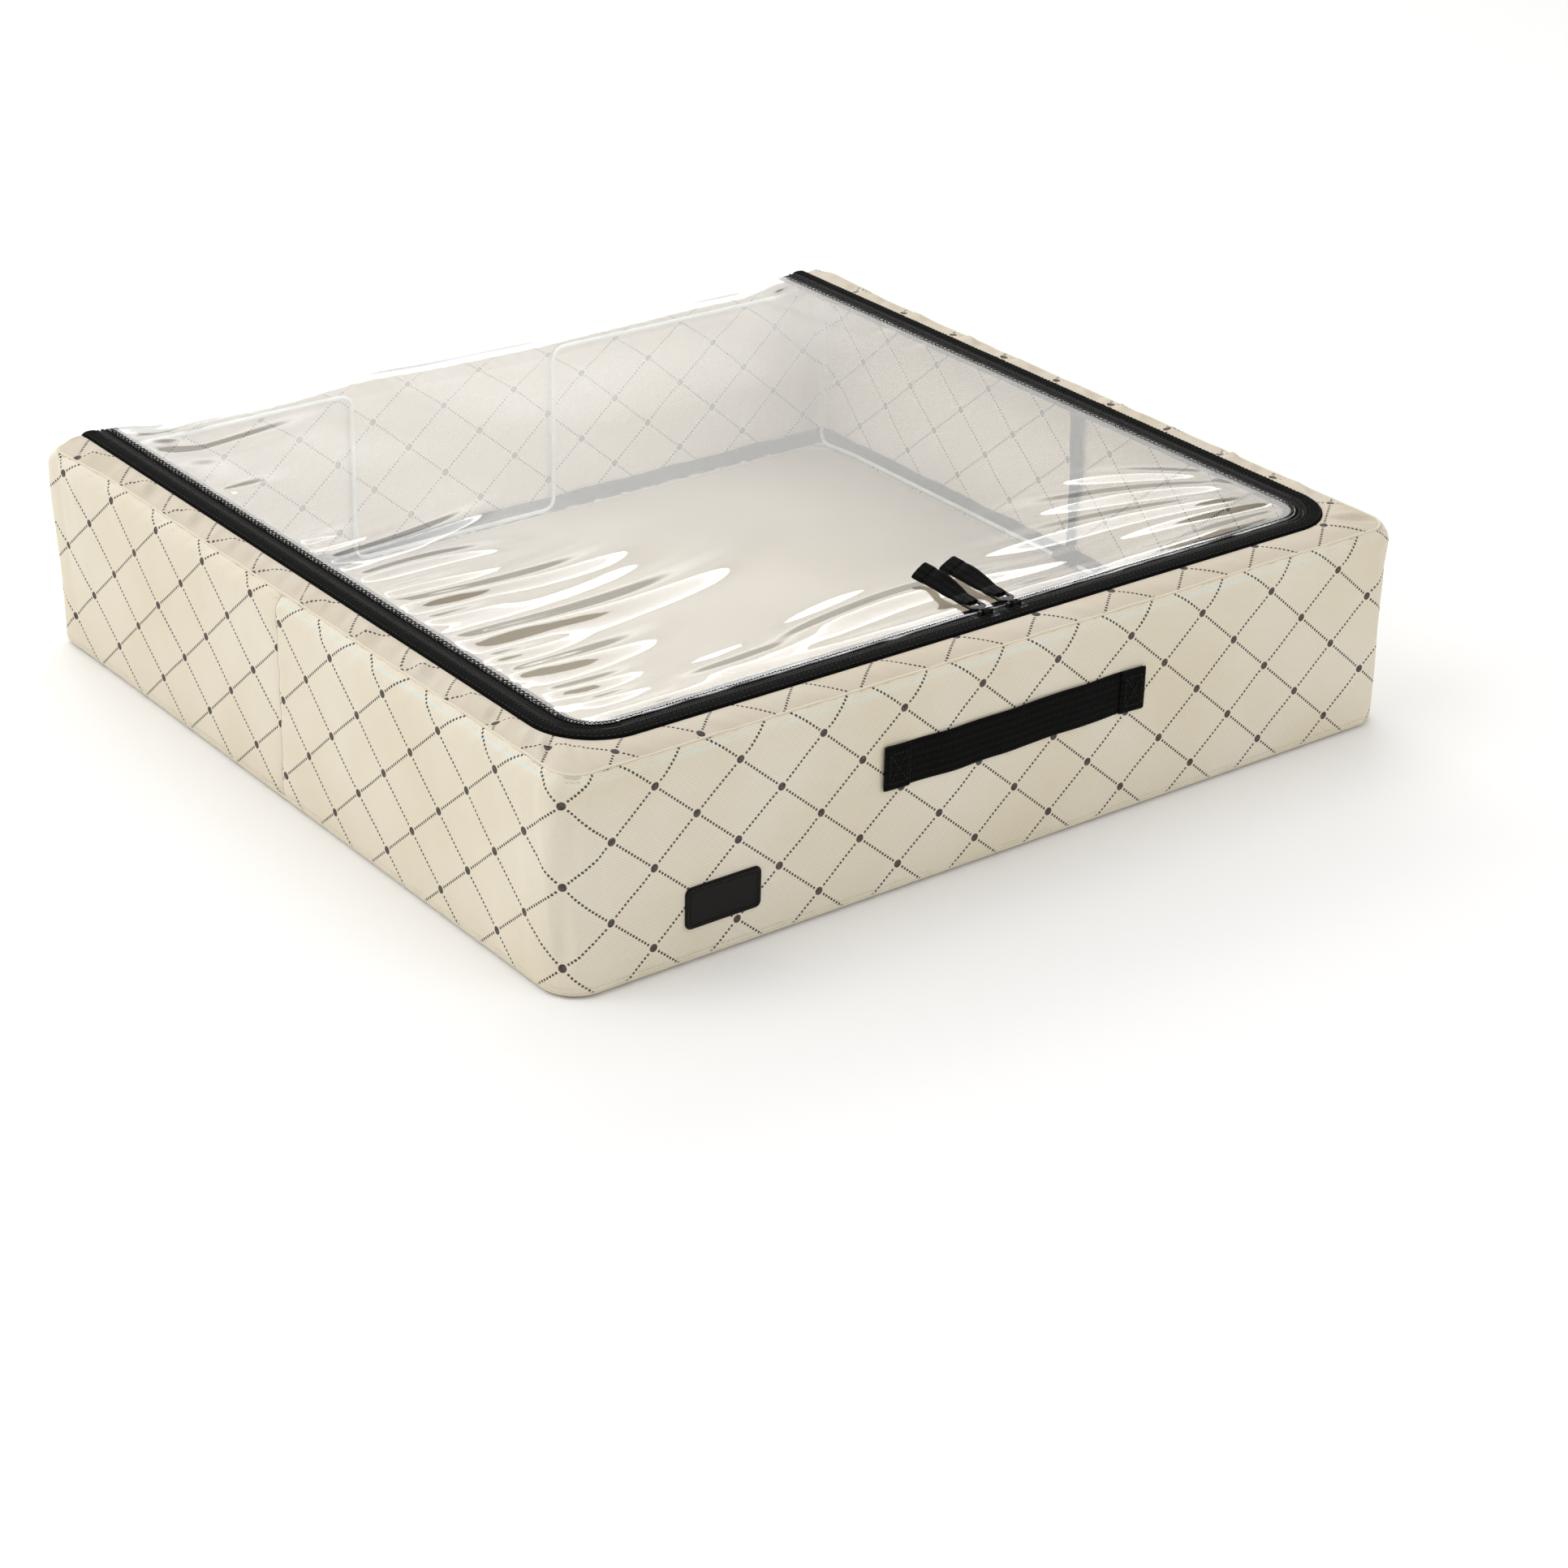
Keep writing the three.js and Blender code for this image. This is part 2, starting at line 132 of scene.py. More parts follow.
class Ring:
    """A rounded rectangle, walked by distance from the middle of its front edge, first towards +X."""

    def __init__(self, half_width, front, rear, radius, rear_radius):
        flat, rear_flat = half_width - radius, half_width - rear_radius
        arc, rear_arc = radius * math.pi / 2, rear_radius * math.pi / 2
        low, high = front + radius, rear - rear_radius
        side_at = flat + arc
        rear_arc_at = side_at + high - low
        self.rear_edge_at = rear_arc_at + rear_arc
        self.half_length = self.rear_edge_at + rear_flat
        self.straights = [
            (0, flat, (0, front), (1, 0), (0, -1)),
            (side_at, high - low, (half_width, low), (0, 1), (1, 0)),
            (self.rear_edge_at, rear_flat, (rear_flat, rear), (-1, 0), (0, 1)),
        ]
        self.bends = [
            (flat, arc, (flat, low), -math.pi / 2, radius),
            (rear_arc_at, rear_arc, (rear_flat, high), 0, rear_radius),
        ]

    def at(self, distance, inset=0.0):
        """Inset points and outward normals, at signed distances either way from the front."""
        walked = np.abs(np.asarray(distance, float))
        side = np.where(np.asarray(distance) < 0, -1.0, 1.0)
        point = np.zeros(walked.shape + (2,))
        normal = np.zeros(walked.shape + (2,))
        for start, length, origin, course, outward in self.straights:
            here = (walked >= start - 1e-9) & (walked <= start + length + 1e-9)
            along = (walked - start)[here]
            point[here] = np.array(origin) + along[:, None] * np.array(course)
            normal[here] = outward
        for start, length, middle, first_angle, radius in self.bends:
            here = (walked >= start - 1e-9) & (walked <= start + length + 1e-9)
            angle = first_angle + (walked - start)[here] / radius
            out = np.stack([np.cos(angle), np.sin(angle)], axis=-1)
            point[here] = np.array(middle) + radius * out
            normal[here] = out
        inset = np.broadcast_to(np.asarray(inset, float), walked.shape)
        point = point - normal * inset[..., None]
        point[..., 0] *= side
        normal[..., 0] *= side
        return point, normal


box_ring = Ring(HALF_WIDTH, FRONT_Y, REAR_Y, CORNER_RADIUS, REAR_RADIUS)
zip_ring = Ring(ZIP_HALF, ZIP_FRONT, REAR_Y + 300 * MM, ZIP_RADIUS, ZIP_RADIUS)
ZIP_REACH = ZIP_HALF - ZIP_RADIUS + ZIP_RADIUS * math.pi / 2 + ZIP_END - ZIP_FRONT - ZIP_RADIUS
SIDE_SEAM_AT = (
    HALF_WIDTH - CORNER_RADIUS + CORNER_RADIUS * math.pi / 2 + SIDE_SEAM_Y - FRONT_Y - CORNER_RADIUS
)


def steps(low, high, size):
    """Even samples from low to high, about size apart."""
    return np.linspace(low, high, max(2, round((high - low) / size) + 1))


def rear_flare(x, y):
    """How far the tops of the walls lean out towards the box's rear corners."""
    near_side = smooth(np.abs(x), HALF_WIDTH - 60 * MM, HALF_WIDTH - 3 * MM)
    near_rear = smooth(y, REAR_Y - 80 * MM, REAR_Y - 3 * MM)
    return 4.5 * MM * near_side * near_rear


def rear_dip(x):
    """How far the rear wall's top edge sinks below the zipper's ends, where only film holds it."""
    inside = smooth(FILM_HALF - np.abs(x), 0, 40 * MM)
    return inside * (5.0 + 1.6 * waves(x, 330 * MM, 31)) * MM


# ---------------------------------------------------------------- meshes

def grid_faces(columns, rows, first=0, flip=False, wrap=False):
    """Quads of a grid of points numbered row by row within each column."""
    last = columns if wrap else columns - 1
    i, j = np.meshgrid(np.arange(last), np.arange(rows - 1), indexing="ij")
    a = first + i * rows + j
    b = first + ((i + 1) % columns) * rows + j
    quads = np.stack([a, b, b + 1, a + 1], axis=-1).reshape(-1, 4)
    return quads[:, ::-1] if flip else quads


def grid_normals(points, wrap=False):
    """Unit normals of a grid of points, columns first."""
    along = np.gradient(points, axis=0)
    if wrap:
        along = (np.roll(points, -1, axis=0) - np.roll(points, 1, axis=0)) / 2
    across = np.gradient(points, axis=1)
    normal = np.cross(along, across)
    return normal / np.maximum(np.linalg.norm(normal, axis=-1, keepdims=True), 1e-12)


def make_mesh(name, points, faces, uv=None, sides=None, materials=(), sharp=50):
    """A smooth-shaded object from arrays of points, faces, cloth coordinates and material numbers."""
    mesh = bpy.data.meshes.new(name)
    mesh.from_pydata(points.tolist(), [], faces.tolist() if hasattr(faces, "tolist") else faces)
    for material in materials:
        mesh.materials.append(material)
    if uv is not None:
        layer = mesh.uv_layers.new(name="Cloth")
        corners = np.empty(len(mesh.loops), dtype=np.int32)
        mesh.loops.foreach_get("vertex_index", corners)
        layer.data.foreach_set("uv", uv[corners].astype(np.float32).ravel())
    if sides is not None:
        mesh.polygons.foreach_set("material_index", sides.astype(np.int32))
    mesh.shade_smooth()
    mesh.set_sharp_from_angle(angle=math.radians(sharp))
    mesh.update()
    piece = bpy.data.objects.new(name, mesh)
    bpy.context.scene.collection.objects.link(piece)
    return piece


def shell(name, outer, thickness, uv, materials, wrap=False, inner=None):
    """A closed thin sheet: an outer grid, its inner face and the edges that join them."""
    columns, rows = outer.shape[:2]
    if inner is None:
        inner = outer - grid_normals(outer, wrap) * thickness
    count = columns * rows
    faces = [grid_faces(columns, rows, 0, False, wrap), grid_faces(columns, rows, count, True, wrap)]
    loops = [(np.arange(columns) * rows, wrap), (np.arange(columns) * rows + rows - 1, wrap)]
    if not wrap:
        loops += [(np.arange(rows), False), ((columns - 1) * rows + np.arange(rows), False)]
    turned = [True, False, False, True]
    for (edge, closed), turn in zip(loops, turned):
        following = np.roll(edge, -1) if closed else edge[1:]
        edge = edge if closed else edge[:-1]
        side = np.stack([edge, following, following + count, edge + count], axis=-1)
        faces.append(side if not turn else side[:, ::-1])
    faces[2:] = [quads[:, ::-1] for quads in faces[2:]]
    sides = [np.zeros(len(faces[0])), np.ones(len(faces[1])) * (len(materials) > 1)]
    sides += [np.zeros(len(quads)) for quads in faces[2:]]
    points = np.concatenate([outer.reshape(-1, 3), inner.reshape(-1, 3)])
    both = np.concatenate([uv.reshape(-1, 2)] * 2)
    return make_mesh(name, points, np.concatenate(faces), both, np.concatenate(sides), materials)


def panel_grid(half_width, front, rear, front_radius, rear_radius, step, ease=1.0):
    """Points (x, y) that fill a rectangle with round corners, in columns from -X to +X."""
    def rows_of(radius):
        return radius * (1 - np.cos(np.linspace(0, math.pi / 2, max(3, int(radius / step) + 2))))
    near = front + rows_of(front_radius) if front_radius else np.array([front])
    far = rear - rows_of(rear_radius)[::-1] if rear_radius else np.array([rear])
    y = np.concatenate([near, steps(near[-1], far[0], step)[1:-1], far])
    half = np.full(len(y), half_width)
    for radius, depth in ((front_radius, y - front), (rear_radius, rear - y)):
        if radius:
            gap = np.clip(radius - depth, 0, radius)
            half -= radius - np.sqrt(np.maximum(radius**2 - gap**2, 0))
    part = np.linspace(0, 1, round(2 * half_width / step) + 1) ** ease * 2 - 1
    x = part[:, None] * half[None, :]
    return np.stack([x, np.broadcast_to(y, x.shape)], axis=-1)


def with_height(flat, height):
    """Points of a flat grid lifted to a height."""
    return np.concatenate([flat, np.broadcast_to(height, flat.shape[:2])[..., None]], axis=-1)


def line_at(flat, height):
    """A line of flat points lifted to a height."""
    return np.column_stack([flat, np.broadcast_to(height, len(flat))])


def spindles(name, starts, ends, lifts, radius, material, rings=5, sides=6):
    """Many short threads, each bowed out of the cloth from a start to an end."""
    starts, ends, lifts = (np.asarray(a, float).reshape(-1, 3) for a in (starts, ends, lifts))
    course = ends - starts
    course /= np.maximum(np.linalg.norm(course, axis=1, keepdims=True), 1e-12)
    across = np.cross(course, lifts)
    across /= np.maximum(np.linalg.norm(across, axis=1, keepdims=True), 1e-12)
    part = np.linspace(0, 1, rings)
    arch = np.sin(math.pi * part)
    angle = np.linspace(0, 2 * math.pi, sides, endpoint=False)
    centre = starts[:, None] + (ends - starts)[:, None] * part[None, :, None]
    centre = centre + lifts[:, None] * (arch[None, :, None] * 0.9 - 0.25) * radius
    girth = radius * (0.35 + 0.65 * arch)
    circle = across[:, None] * np.cos(angle)[None, :, None] + lifts[:, None] * np.sin(angle)[None, :, None]
    points = centre[:, :, None] + circle[:, None] * girth[None, :, None, None]
    count = len(starts)
    ring = np.arange(sides)
    quads = []
    for row in range(rings - 1):
        a = row * sides + ring
        b = row * sides + (ring + 1) % sides
        quads.append(np.stack([a, b, b + sides, a + sides], axis=-1))
    quads = np.concatenate(quads)
    offsets = (np.arange(count) * rings * sides)[:, None, None]
    faces = (quads[None] + offsets).reshape(-1, 4).tolist()
    for first in range(0, count * rings * sides, rings * sides):
        faces.append([first + k for k in reversed(range(sides))])
        faces.append([first + (rings - 1) * sides + k for k in range(sides)])
    return make_mesh(name, points.reshape(-1, 3), faces, materials=[material])


def seam_stitches(line, lifts, length, gap):
    """Starts, ends and lifts of a row of stitches along a line of points."""
    far = np.concatenate([[0], np.cumsum(np.linalg.norm(np.diff(line, axis=0), axis=1))])
    count = int(far[-1] / (length + gap))
    first = np.arange(count) * (length + gap) + gap / 2

    def at(distance, values):
        return np.stack([np.interp(distance, far, values[:, k]) for k in range(3)], axis=-1)
    return at(first, line), at(first + length, line), at(first + length / 2, lifts)


def stitch_rows(name, rows, length, gap, radius, thread):
    """Stitches along rows, each a line of points and the direction in which its stitches bow."""
    parts = [seam_stitches(line, np.broadcast_to(out, line.shape), length, gap) for line, out in rows]
    return spindles(name, *(np.concatenate(part) for part in zip(*parts)), radius, thread)


def tube(name, line, radius, material, sides=6, closed=False):
    """A round cord mesh along a line of points."""
    course = np.gradient(line, axis=0)
    if closed:
        course = np.roll(line, -1, axis=0) - np.roll(line, 1, axis=0)
    course /= np.linalg.norm(course, axis=1, keepdims=True)
    up = np.array([0.0, 0.0, 1.0])
    across = np.cross(course, up)
    across /= np.maximum(np.linalg.norm(across, axis=1, keepdims=True), 1e-9)
    other = np.cross(across, course)
    angle = np.linspace(0, 2 * math.pi, sides, endpoint=False)[None, :, None]
    points = line[:, None] + radius * (across[:, None] * np.cos(angle) + other[:, None] * np.sin(angle))
    count = len(line)
    columns = grid_faces(sides, count, wrap=True)
    by_ring = (columns % count) * sides + columns // count
    faces = by_ring.tolist()
    if closed:
        last = (count - 1) * sides
        faces += [[last + k, last + (k + 1) % sides, (k + 1) % sides, k] for k in range(sides)]
    else:
        faces += [list(range(sides))[::-1], [(count - 1) * sides + k for k in range(sides)]]
    return make_mesh(name, points.reshape(-1, 3), faces, materials=[material])


def hinge_blend(piece):
    """Bakes a lid piece's place into its mesh."""
    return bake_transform(piece)


def place(piece, body, slot, *nodes):
    """Rides a piece on a body, or for the lid bakes its place into its mesh, and lets it stand for CAD
    nodes.
    """
    if body == "lid":
        hinge_blend(piece)
    else:
        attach(piece, body)
    if nodes:
        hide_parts(*nodes)
    return piece


# ---------------------------------------------------------------- materials

def opaque(value):
    """A colour with full alpha; a node socket is passed on as it is."""
    return (*value, 1) if isinstance(value, tuple) else value


class Value:
    """A number that shader nodes work out; arithmetic on it adds math nodes."""

    def __init__(self, recipe, socket):
        self.recipe = recipe
        self.socket = socket

    def __add__(self, other):
        return self.recipe.math("ADD", self, other)

    def __sub__(self, other):
        return self.recipe.math("SUBTRACT", self, other)

    def __mul__(self, other):
        return self.recipe.math("MULTIPLY", self, other)

    def __truediv__(self, other):
        return self.recipe.math("DIVIDE", self, other)


class Recipe:
    """The nodes of a material, or of the world, under construction."""

    def __init__(self, name, world=False):
        self.owner = (bpy.data.worlds if world else bpy.data.materials).new(name)
        self.owner.use_nodes = True
        self.tree = self.owner.node_tree
        self.tree.nodes.clear()
        self.output = self.add("ShaderNodeOutputWorld" if world else "ShaderNodeOutputMaterial")

    def add(self, kind, values=None, **settings):
        """A new node, with constants on its inputs or links to them."""
        node = self.tree.nodes.new(kind)
        for key, value in settings.items():
            setattr(node, key, value)
        for key, value in (values or {}).items():
            value = value.socket if isinstance(value, Value) else value
            if isinstance(value, bpy.types.NodeSocket):
                self.tree.links.new(value, node.inputs[key])
            else:
                node.inputs[key].default_value = value
        return node

    def math(self, operation, *values):
        values = dict(enumerate(values))
        return Value(self, self.add("ShaderNodeMath", values, operation=operation).outputs[0])

    def blend(self, factor, a, b):
        """A colour from a to b."""
        values = {0: factor, 6: opaque(a), 7: opaque(b)}
        return self.add("ShaderNodeMix", values, data_type="RGBA").outputs[2]

    def scaled(self, colour, amount):
        """A colour made lighter or darker."""
        values = {0: colour, "Scale": amount}
        return self.add("ShaderNodeVectorMath", values, operation="SCALE").outputs[0]

    def parts(self, vector):
        """The three numbers of a vector."""
        return [Value(self, part) for part in self.add("ShaderNodeSeparateXYZ", {0: vector}).outputs]

    def cloth(self):
        """Place on the cloth, and its distances along and up it, in metres."""
        uv = self.add("ShaderNodeUVMap", uv_map="Cloth").outputs[0]
        along, up, _ = self.parts(uv)
        return uv, along, up

    def spot(self):
        """Place in the object, in metres."""
        return self.add("ShaderNodeTexCoord").outputs["Object"]

    def noise(self, vector, size, detail=3.0, roughness=0.5):
        """Cloudy variation from 0 to 1 with features of about this size."""
        values = {"Vector": vector, "Scale": 1 / size, "Detail": detail, "Roughness": roughness}
        return Value(self, self.add("ShaderNodeTexNoise", values).outputs[0])

    def spread(self, value, low, high, out_low, out_high, **settings):
        """A value's range from low to high mapped onto another range."""
        values = {0: value, 1: low, 2: high, 3: out_low, 4: out_high}
        return Value(self, self.add("ShaderNodeMapRange", values, **settings).outputs[0])

    def wave(self, distance, pitch):
        """A sine from 0 to 1 along a distance."""
        return self.math("SINE", distance * (2 * math.pi / pitch)) * 0.5 + 0.5

    def bump(self, height, depth, strength=1.0):
        values = {"Strength": strength, "Distance": depth, "Height": height}
        return self.add("ShaderNodeBump", values).outputs[0]

    def finish(self, shader):
        self.tree.links.new(shader, self.output.inputs[0])
        return self.owner

    def principled(self, colour, roughness, **values):
        sockets = {"Base Color": opaque(colour), "Roughness": roughness}
        sockets.update({key.replace("_", " "): value for key, value in values.items()})
        return self.finish(self.add("ShaderNodeBsdfPrincipled", sockets).outputs[0])


def nearest_offset(recipe, value):
    """How far a value is from its nearest whole number, from -0.5 to 0.5."""
    return value - recipe.math("ROUND", value)


def lattice_disc(recipe, dp, dq, radius, edge):
    """1 within a radius of a point that is (dp, dq) lattice steps away, 0 outside."""
    du = (dp + dq) * LATTICE_U
    dv = (dp - dq) * LATTICE_V
    reach = recipe.math("SQRT", du * du + dv * dv)
    return recipe.spread(reach, radius - edge, radius + edge, 1, 0)


def lattice_print(recipe, u, v):
    """The print's ink: 1 in dots and in the marks that join them."""
    a = u / (2 * LATTICE_U)
    b = v / (2 * LATTICE_V)
    p = a + b
    q = a - b
    dp = nearest_offset(recipe, p)
    dq = nearest_offset(recipe, q)
    ink = lattice_disc(recipe, dp, dq, DOT_RADIUS, 0.12 * MM)
    for along, off, swap in ((p, dq, False), (q, dp, True)):
        count = (recipe.math("FRACT", along) - 0.5) / MARK_PITCH
        within = recipe.math("LESS_THAN", recipe.math("ABSOLUTE", count), MARKS / 2)
        step = (recipe.math("FRACT", count) - 0.5) * MARK_PITCH
        pair = (off, step) if swap else (step, off)
        mark = lattice_disc(recipe, *pair, MARK_RADIUS, 0.14 * MM)
        ink = recipe.math("MAXIMUM", ink, mark * within)
    return ink


def printed_canvas(name, ground, ink_share, roughness=0.66, highlight_line_at=None):
    """Twill with a lattice print; a cool pale line along the ridge where a wire presses under it is a
    painted highlight.
    """
    recipe = Recipe(name)
    uv, u, v = recipe.cloth()
    twill = recipe.wave(u * 0.53 + v * 0.85, 1.35 * MM)
    rib = recipe.wave(u - v * 0.35, 1.05 * MM)
    weave = twill * 0.62 + rib * 0.38
    slub = recipe.noise(uv, 2.4 * MM, 2)
    cloud = recipe.noise(uv, 90 * MM, 4)
    shade = weave * 0.21 + slub * 0.05 + cloud * 0.06 + 0.80
    paler = tuple(min(1.0, c * 1.02) for c in ground)
    yellower = (ground[0] * 0.985, ground[1] * 0.965, ground[2] * 0.90)
    base = recipe.blend(recipe.spread(cloud, 0.35, 0.65, 0, 1), yellower, paler)
    if highlight_line_at is not None:
        # Painted highlight: a cool pale line on the cloth along the wire's ridge, broken into patches.
        gap = recipe.math("ABSOLUTE", v - highlight_line_at)
        patch = recipe.spread(recipe.noise(uv, 55 * MM, 2), 0.36, 0.58, 0.15, 0.70)
        line = recipe.spread(gap, 0.3 * MM, 2.6 * MM, 1, 0) * patch
        base = recipe.blend(line, base, (0.74, 0.79, 0.72))
    worn = recipe.spread(twill * 0.25 + slub, 0.3, 0.95, 0.86, 1.0)
    ink = lattice_print(recipe, u, v) * worn * ink_share
    colour = recipe.blend(ink, recipe.scaled(base, shade), (0.024, 0.018, 0.015))
    rough = slub * 0.12 + (roughness - 0.06)
    normal = recipe.bump(slub * 0.5 + weave, 0.16 * MM, 0.55)
    return recipe.principled(colour, rough, Normal=normal, Specular_IOR_Level=0.28, Sheen_Weight=0.05)


def woven_black(name, warp, weft, roughness=0.62, depth=0.2, base=0.012):
    """Black narrow fabric; warp and weft are the rib pitches along and across it."""
    recipe = Recipe(name)
    uv, u, v = recipe.cloth()
    weave = recipe.wave(u, warp) * recipe.wave(v, weft)
    lint = recipe.noise(uv, 1.1 * MM, 3)
    light = (lint * 0.9 + 0.55) * (weave * 1.3 + 0.4)
    tint = recipe.scaled((base, base * 0.97, base * 0.92), light)
    rough = lint * 0.2 + (roughness - 0.1)
    normal = recipe.bump(weave, depth * MM, 0.8)
    return recipe.principled(tint, rough, Normal=normal, Specular_IOR_Level=0.05)


def coil_nylon():
    """Black monofilament of the zipper's coil."""
    recipe = Recipe("zip_nylon")
    scratch = recipe.noise(recipe.spot(), 0.8 * MM, 3)
    tint = recipe.blend(scratch, (0.004, 0.004, 0.004), (0.012, 0.011, 0.011))
    return recipe.principled(tint, recipe.spread(scratch, 0, 1, 0.20, 0.34), Specular_IOR_Level=0.5)


def clear_film():
    """Thin clear vinyl: what is behind it shows, under a mirror sheen that grows at a glancing view."""
    recipe = Recipe("clear_vinyl")
    facing = recipe.add("ShaderNodeLayerWeight", {"Blend": 0.5}).outputs["Facing"]
    mirror = recipe.math("POWER", facing, 4.6) * 0.9 + 0.042
    haze = recipe.noise(recipe.spot(), 60 * MM, 3)
    tint = recipe.blend(haze, (0.972, 0.974, 0.972), (0.986, 0.987, 0.985))
    see = recipe.add("ShaderNodeBsdfTransparent", {0: tint}).outputs[0]
    ripple = recipe.bump(recipe.noise(recipe.spot(), 22 * MM, 2), 0.04 * MM, 0.3)
    sheen = {"Color": (1, 1, 1, 1), "Roughness": 0.02, "Normal": ripple}
    gloss = recipe.add("ShaderNodeBsdfAnisotropic", sheen).outputs[0]
    return recipe.finish(recipe.add("ShaderNodeMixShader", {0: mirror, 1: see, 2: gloss}).outputs[0])


def edge_painted_highlight():
    """Cut and folded edge of the film, painted pale as a highlight where it catches the light, with darker
    breaks.
    """
    recipe = Recipe("vinyl_edge_painted_highlight")
    cloud = recipe.spread(recipe.noise(recipe.spot(), 26 * MM, 3), 0.38, 0.62, 0, 1)
    # Painted highlight: pale stretches where the edge catches the light, broken by darker ones.
    tint = recipe.blend(cloud, (0.10, 0.10, 0.10), (0.82, 0.84, 0.85))
    return recipe.principled(tint, 0.16, Specular_IOR_Level=0.7, Coat_Weight=0.6)


def black_metal():
    """Black lacquered zinc with rubbed edges."""
    recipe = Recipe("black_lacquer")
    spot = recipe.spot()
    grain = recipe.noise(spot, 0.5 * MM, 4)
    patch = recipe.spread(recipe.noise(spot, 4 * MM, 2), 0.45, 0.75, 0, 1)
    tint = recipe.blend(patch, (0.005, 0.005, 0.005), (0.020, 0.019, 0.018))
    rough = recipe.spread(grain, 0.2, 0.8, 0.36, 0.54)
    normal = recipe.bump(grain, 0.03 * MM, 0.4)
    return recipe.principled(
        tint, rough, Metallic=0.1, Specular_IOR_Level=0.22, Coat_Weight=0.06, Normal=normal
    )


def coated_wire():
    """Pale powder coat on steel wire, with orange peel and a few rubbed spots."""
    recipe = Recipe("powder_coat")
    spot = recipe.spot()
    peel = recipe.noise(spot, 0.9 * MM, 2)
    rub = recipe.spread(recipe.noise(spot, 35 * MM, 4, 0.7), 0.5, 0.72, 0, 1)
    tint = recipe.blend(rub, (0.70, 0.74, 0.72), (0.50, 0.54, 0.53))
    rough = recipe.spread(peel, 0.2, 0.8, 0.2, 0.36)
    return recipe.principled(tint, rough, Normal=recipe.bump(peel, 0.05 * MM, 0.5), Coat_Weight=0.3)


def soft_black():
    """Moulded black rubber with a fine leathery grain."""
    recipe = Recipe("black_rubber")
    spot = recipe.spot()
    cells = recipe.add("ShaderNodeTexVoronoi", {"Vector": spot, "Scale": 1 / (0.9 * MM)}).outputs[0]
    dust = recipe.noise(spot, 7 * MM, 4)
    tint = recipe.blend(dust, (0.0045, 0.0044, 0.004), (0.011, 0.0105, 0.0095))
    rough = recipe.spread(dust, 0.3, 0.7, 0.40, 0.56)
    return recipe.principled(tint, rough, Normal=recipe.bump(cells, 0.06 * MM, 0.5), Specular_IOR_Level=0.13)


def board_cloth():
    """Smooth greige non-woven cover of the base board."""
    recipe = Recipe("board_cover")
    uv, u, v = recipe.cloth()
    fibre = recipe.noise(uv, 0.9 * MM, 4, 0.7)
    cloud = recipe.spread(recipe.noise(uv, 110 * MM, 3), 0.3, 0.7, 0, 1)
    emboss = recipe.wave(u, 1.6 * MM) * recipe.wave(v, 1.6 * MM)
    base = recipe.blend(cloud, (0.455, 0.395, 0.305), (0.515, 0.452, 0.355))
    tint = recipe.scaled(base, fibre * 0.12 + 0.93)
    normal = recipe.bump(fibre * 0.6 + emboss, 0.1 * MM, 0.5)
    return recipe.principled(tint, 0.82, Normal=normal, Specular_IOR_Level=0.25)


def sewing_thread(name, dark, pale, roughness):
    """Twisted polyester thread."""
    recipe = Recipe(name)
    twist = recipe.noise(recipe.spot(), 0.4 * MM, 2)
    tint = recipe.blend(twist, dark, pale)
    return recipe.principled(tint, roughness, Specular_IOR_Level=0.15, Sheen_Weight=0.05)


canvas = printed_canvas("printed_canvas", (0.790, 0.728, 0.612), 1.0)
# The front cloth gets the painted highlight line near its top, over the top wire.
front_canvas = printed_canvas("printed_canvas_front", (0.790, 0.728, 0.612), 1.0, highlight_line_at=12.5 * MM)
# Painted shade: the rim uses the walls' canvas with its ground darkened to stand in for the dimmer light on
# the rim.
rim_canvas_painted_shade = printed_canvas("printed_canvas_rim_shaded", (0.620, 0.556, 0.465), 1.0)
canvas_back = printed_canvas("canvas_back", (0.720, 0.660, 0.570), 0.9, 0.8)
tape_black = woven_black("zip_tape_weave", 1.1 * MM, 0.8 * MM, 0.8, 0.12, 0.0045)
binding_black = woven_black("binding_weave", 0.9 * MM, 0.9 * MM, 0.7, 0.12, 0.008)
webbing_black = woven_black("webbing_weave", 1.8 * MM, 4.4 * MM, 0.55, 0.2, 0.0048)
nylon = coil_nylon()
film = clear_film()
film_edge = edge_painted_highlight()
metal = black_metal()
wire_coat = coated_wire()
rubber = soft_black()
cover = board_cloth()
black_thread = sewing_thread("black_thread", (0.005, 0.005, 0.005), (0.020, 0.019, 0.018), 0.45)
cream_thread = sewing_thread("cream_thread", (0.62, 0.56, 0.44), (0.80, 0.75, 0.62), 0.6)


# ---------------------------------------------------------------- cloth walls

def wall_profile(up):
    """Inset and height of a wall at a distance up its cloth from the bottom edge."""
    quarter = BOTTOM_ROLL * math.pi / 2
    roll = np.clip(up / BOTTOM_ROLL, 0, math.pi / 2)
    straight = SHOULDER_Z - BOTTOM_Z - BOTTOM_ROLL
    rise = np.clip(up - quarter, 0, straight)
    lean = np.clip((up - quarter - straight) / SHOULDER_RADIUS, 0, SHOULDER_ANGLE)
    inset = BOTTOM_ROLL * (1 - np.sin(roll)) + SHOULDER_RADIUS * (1 - np.cos(lean))
    height = BOTTOM_Z + BOTTOM_ROLL * (1 - np.cos(roll)) + rise + SHOULDER_RADIUS * np.sin(lean)
    return inset, height


WALL_RISE = (
    BOTTOM_ROLL * math.pi / 2 + SHOULDER_Z - BOTTOM_Z - BOTTOM_ROLL + SHOULDER_RADIUS * SHOULDER_ANGLE
)
CORNER_FOLD_AT = -(HALF_WIDTH - CORNER_RADIUS + 21 * MM)


def up_at(height):
    """Distance up the wall's cloth at a height above its bottom roll."""
    return height - BOTTOM_Z - BOTTOM_ROLL + BOTTOM_ROLL * math.pi / 2


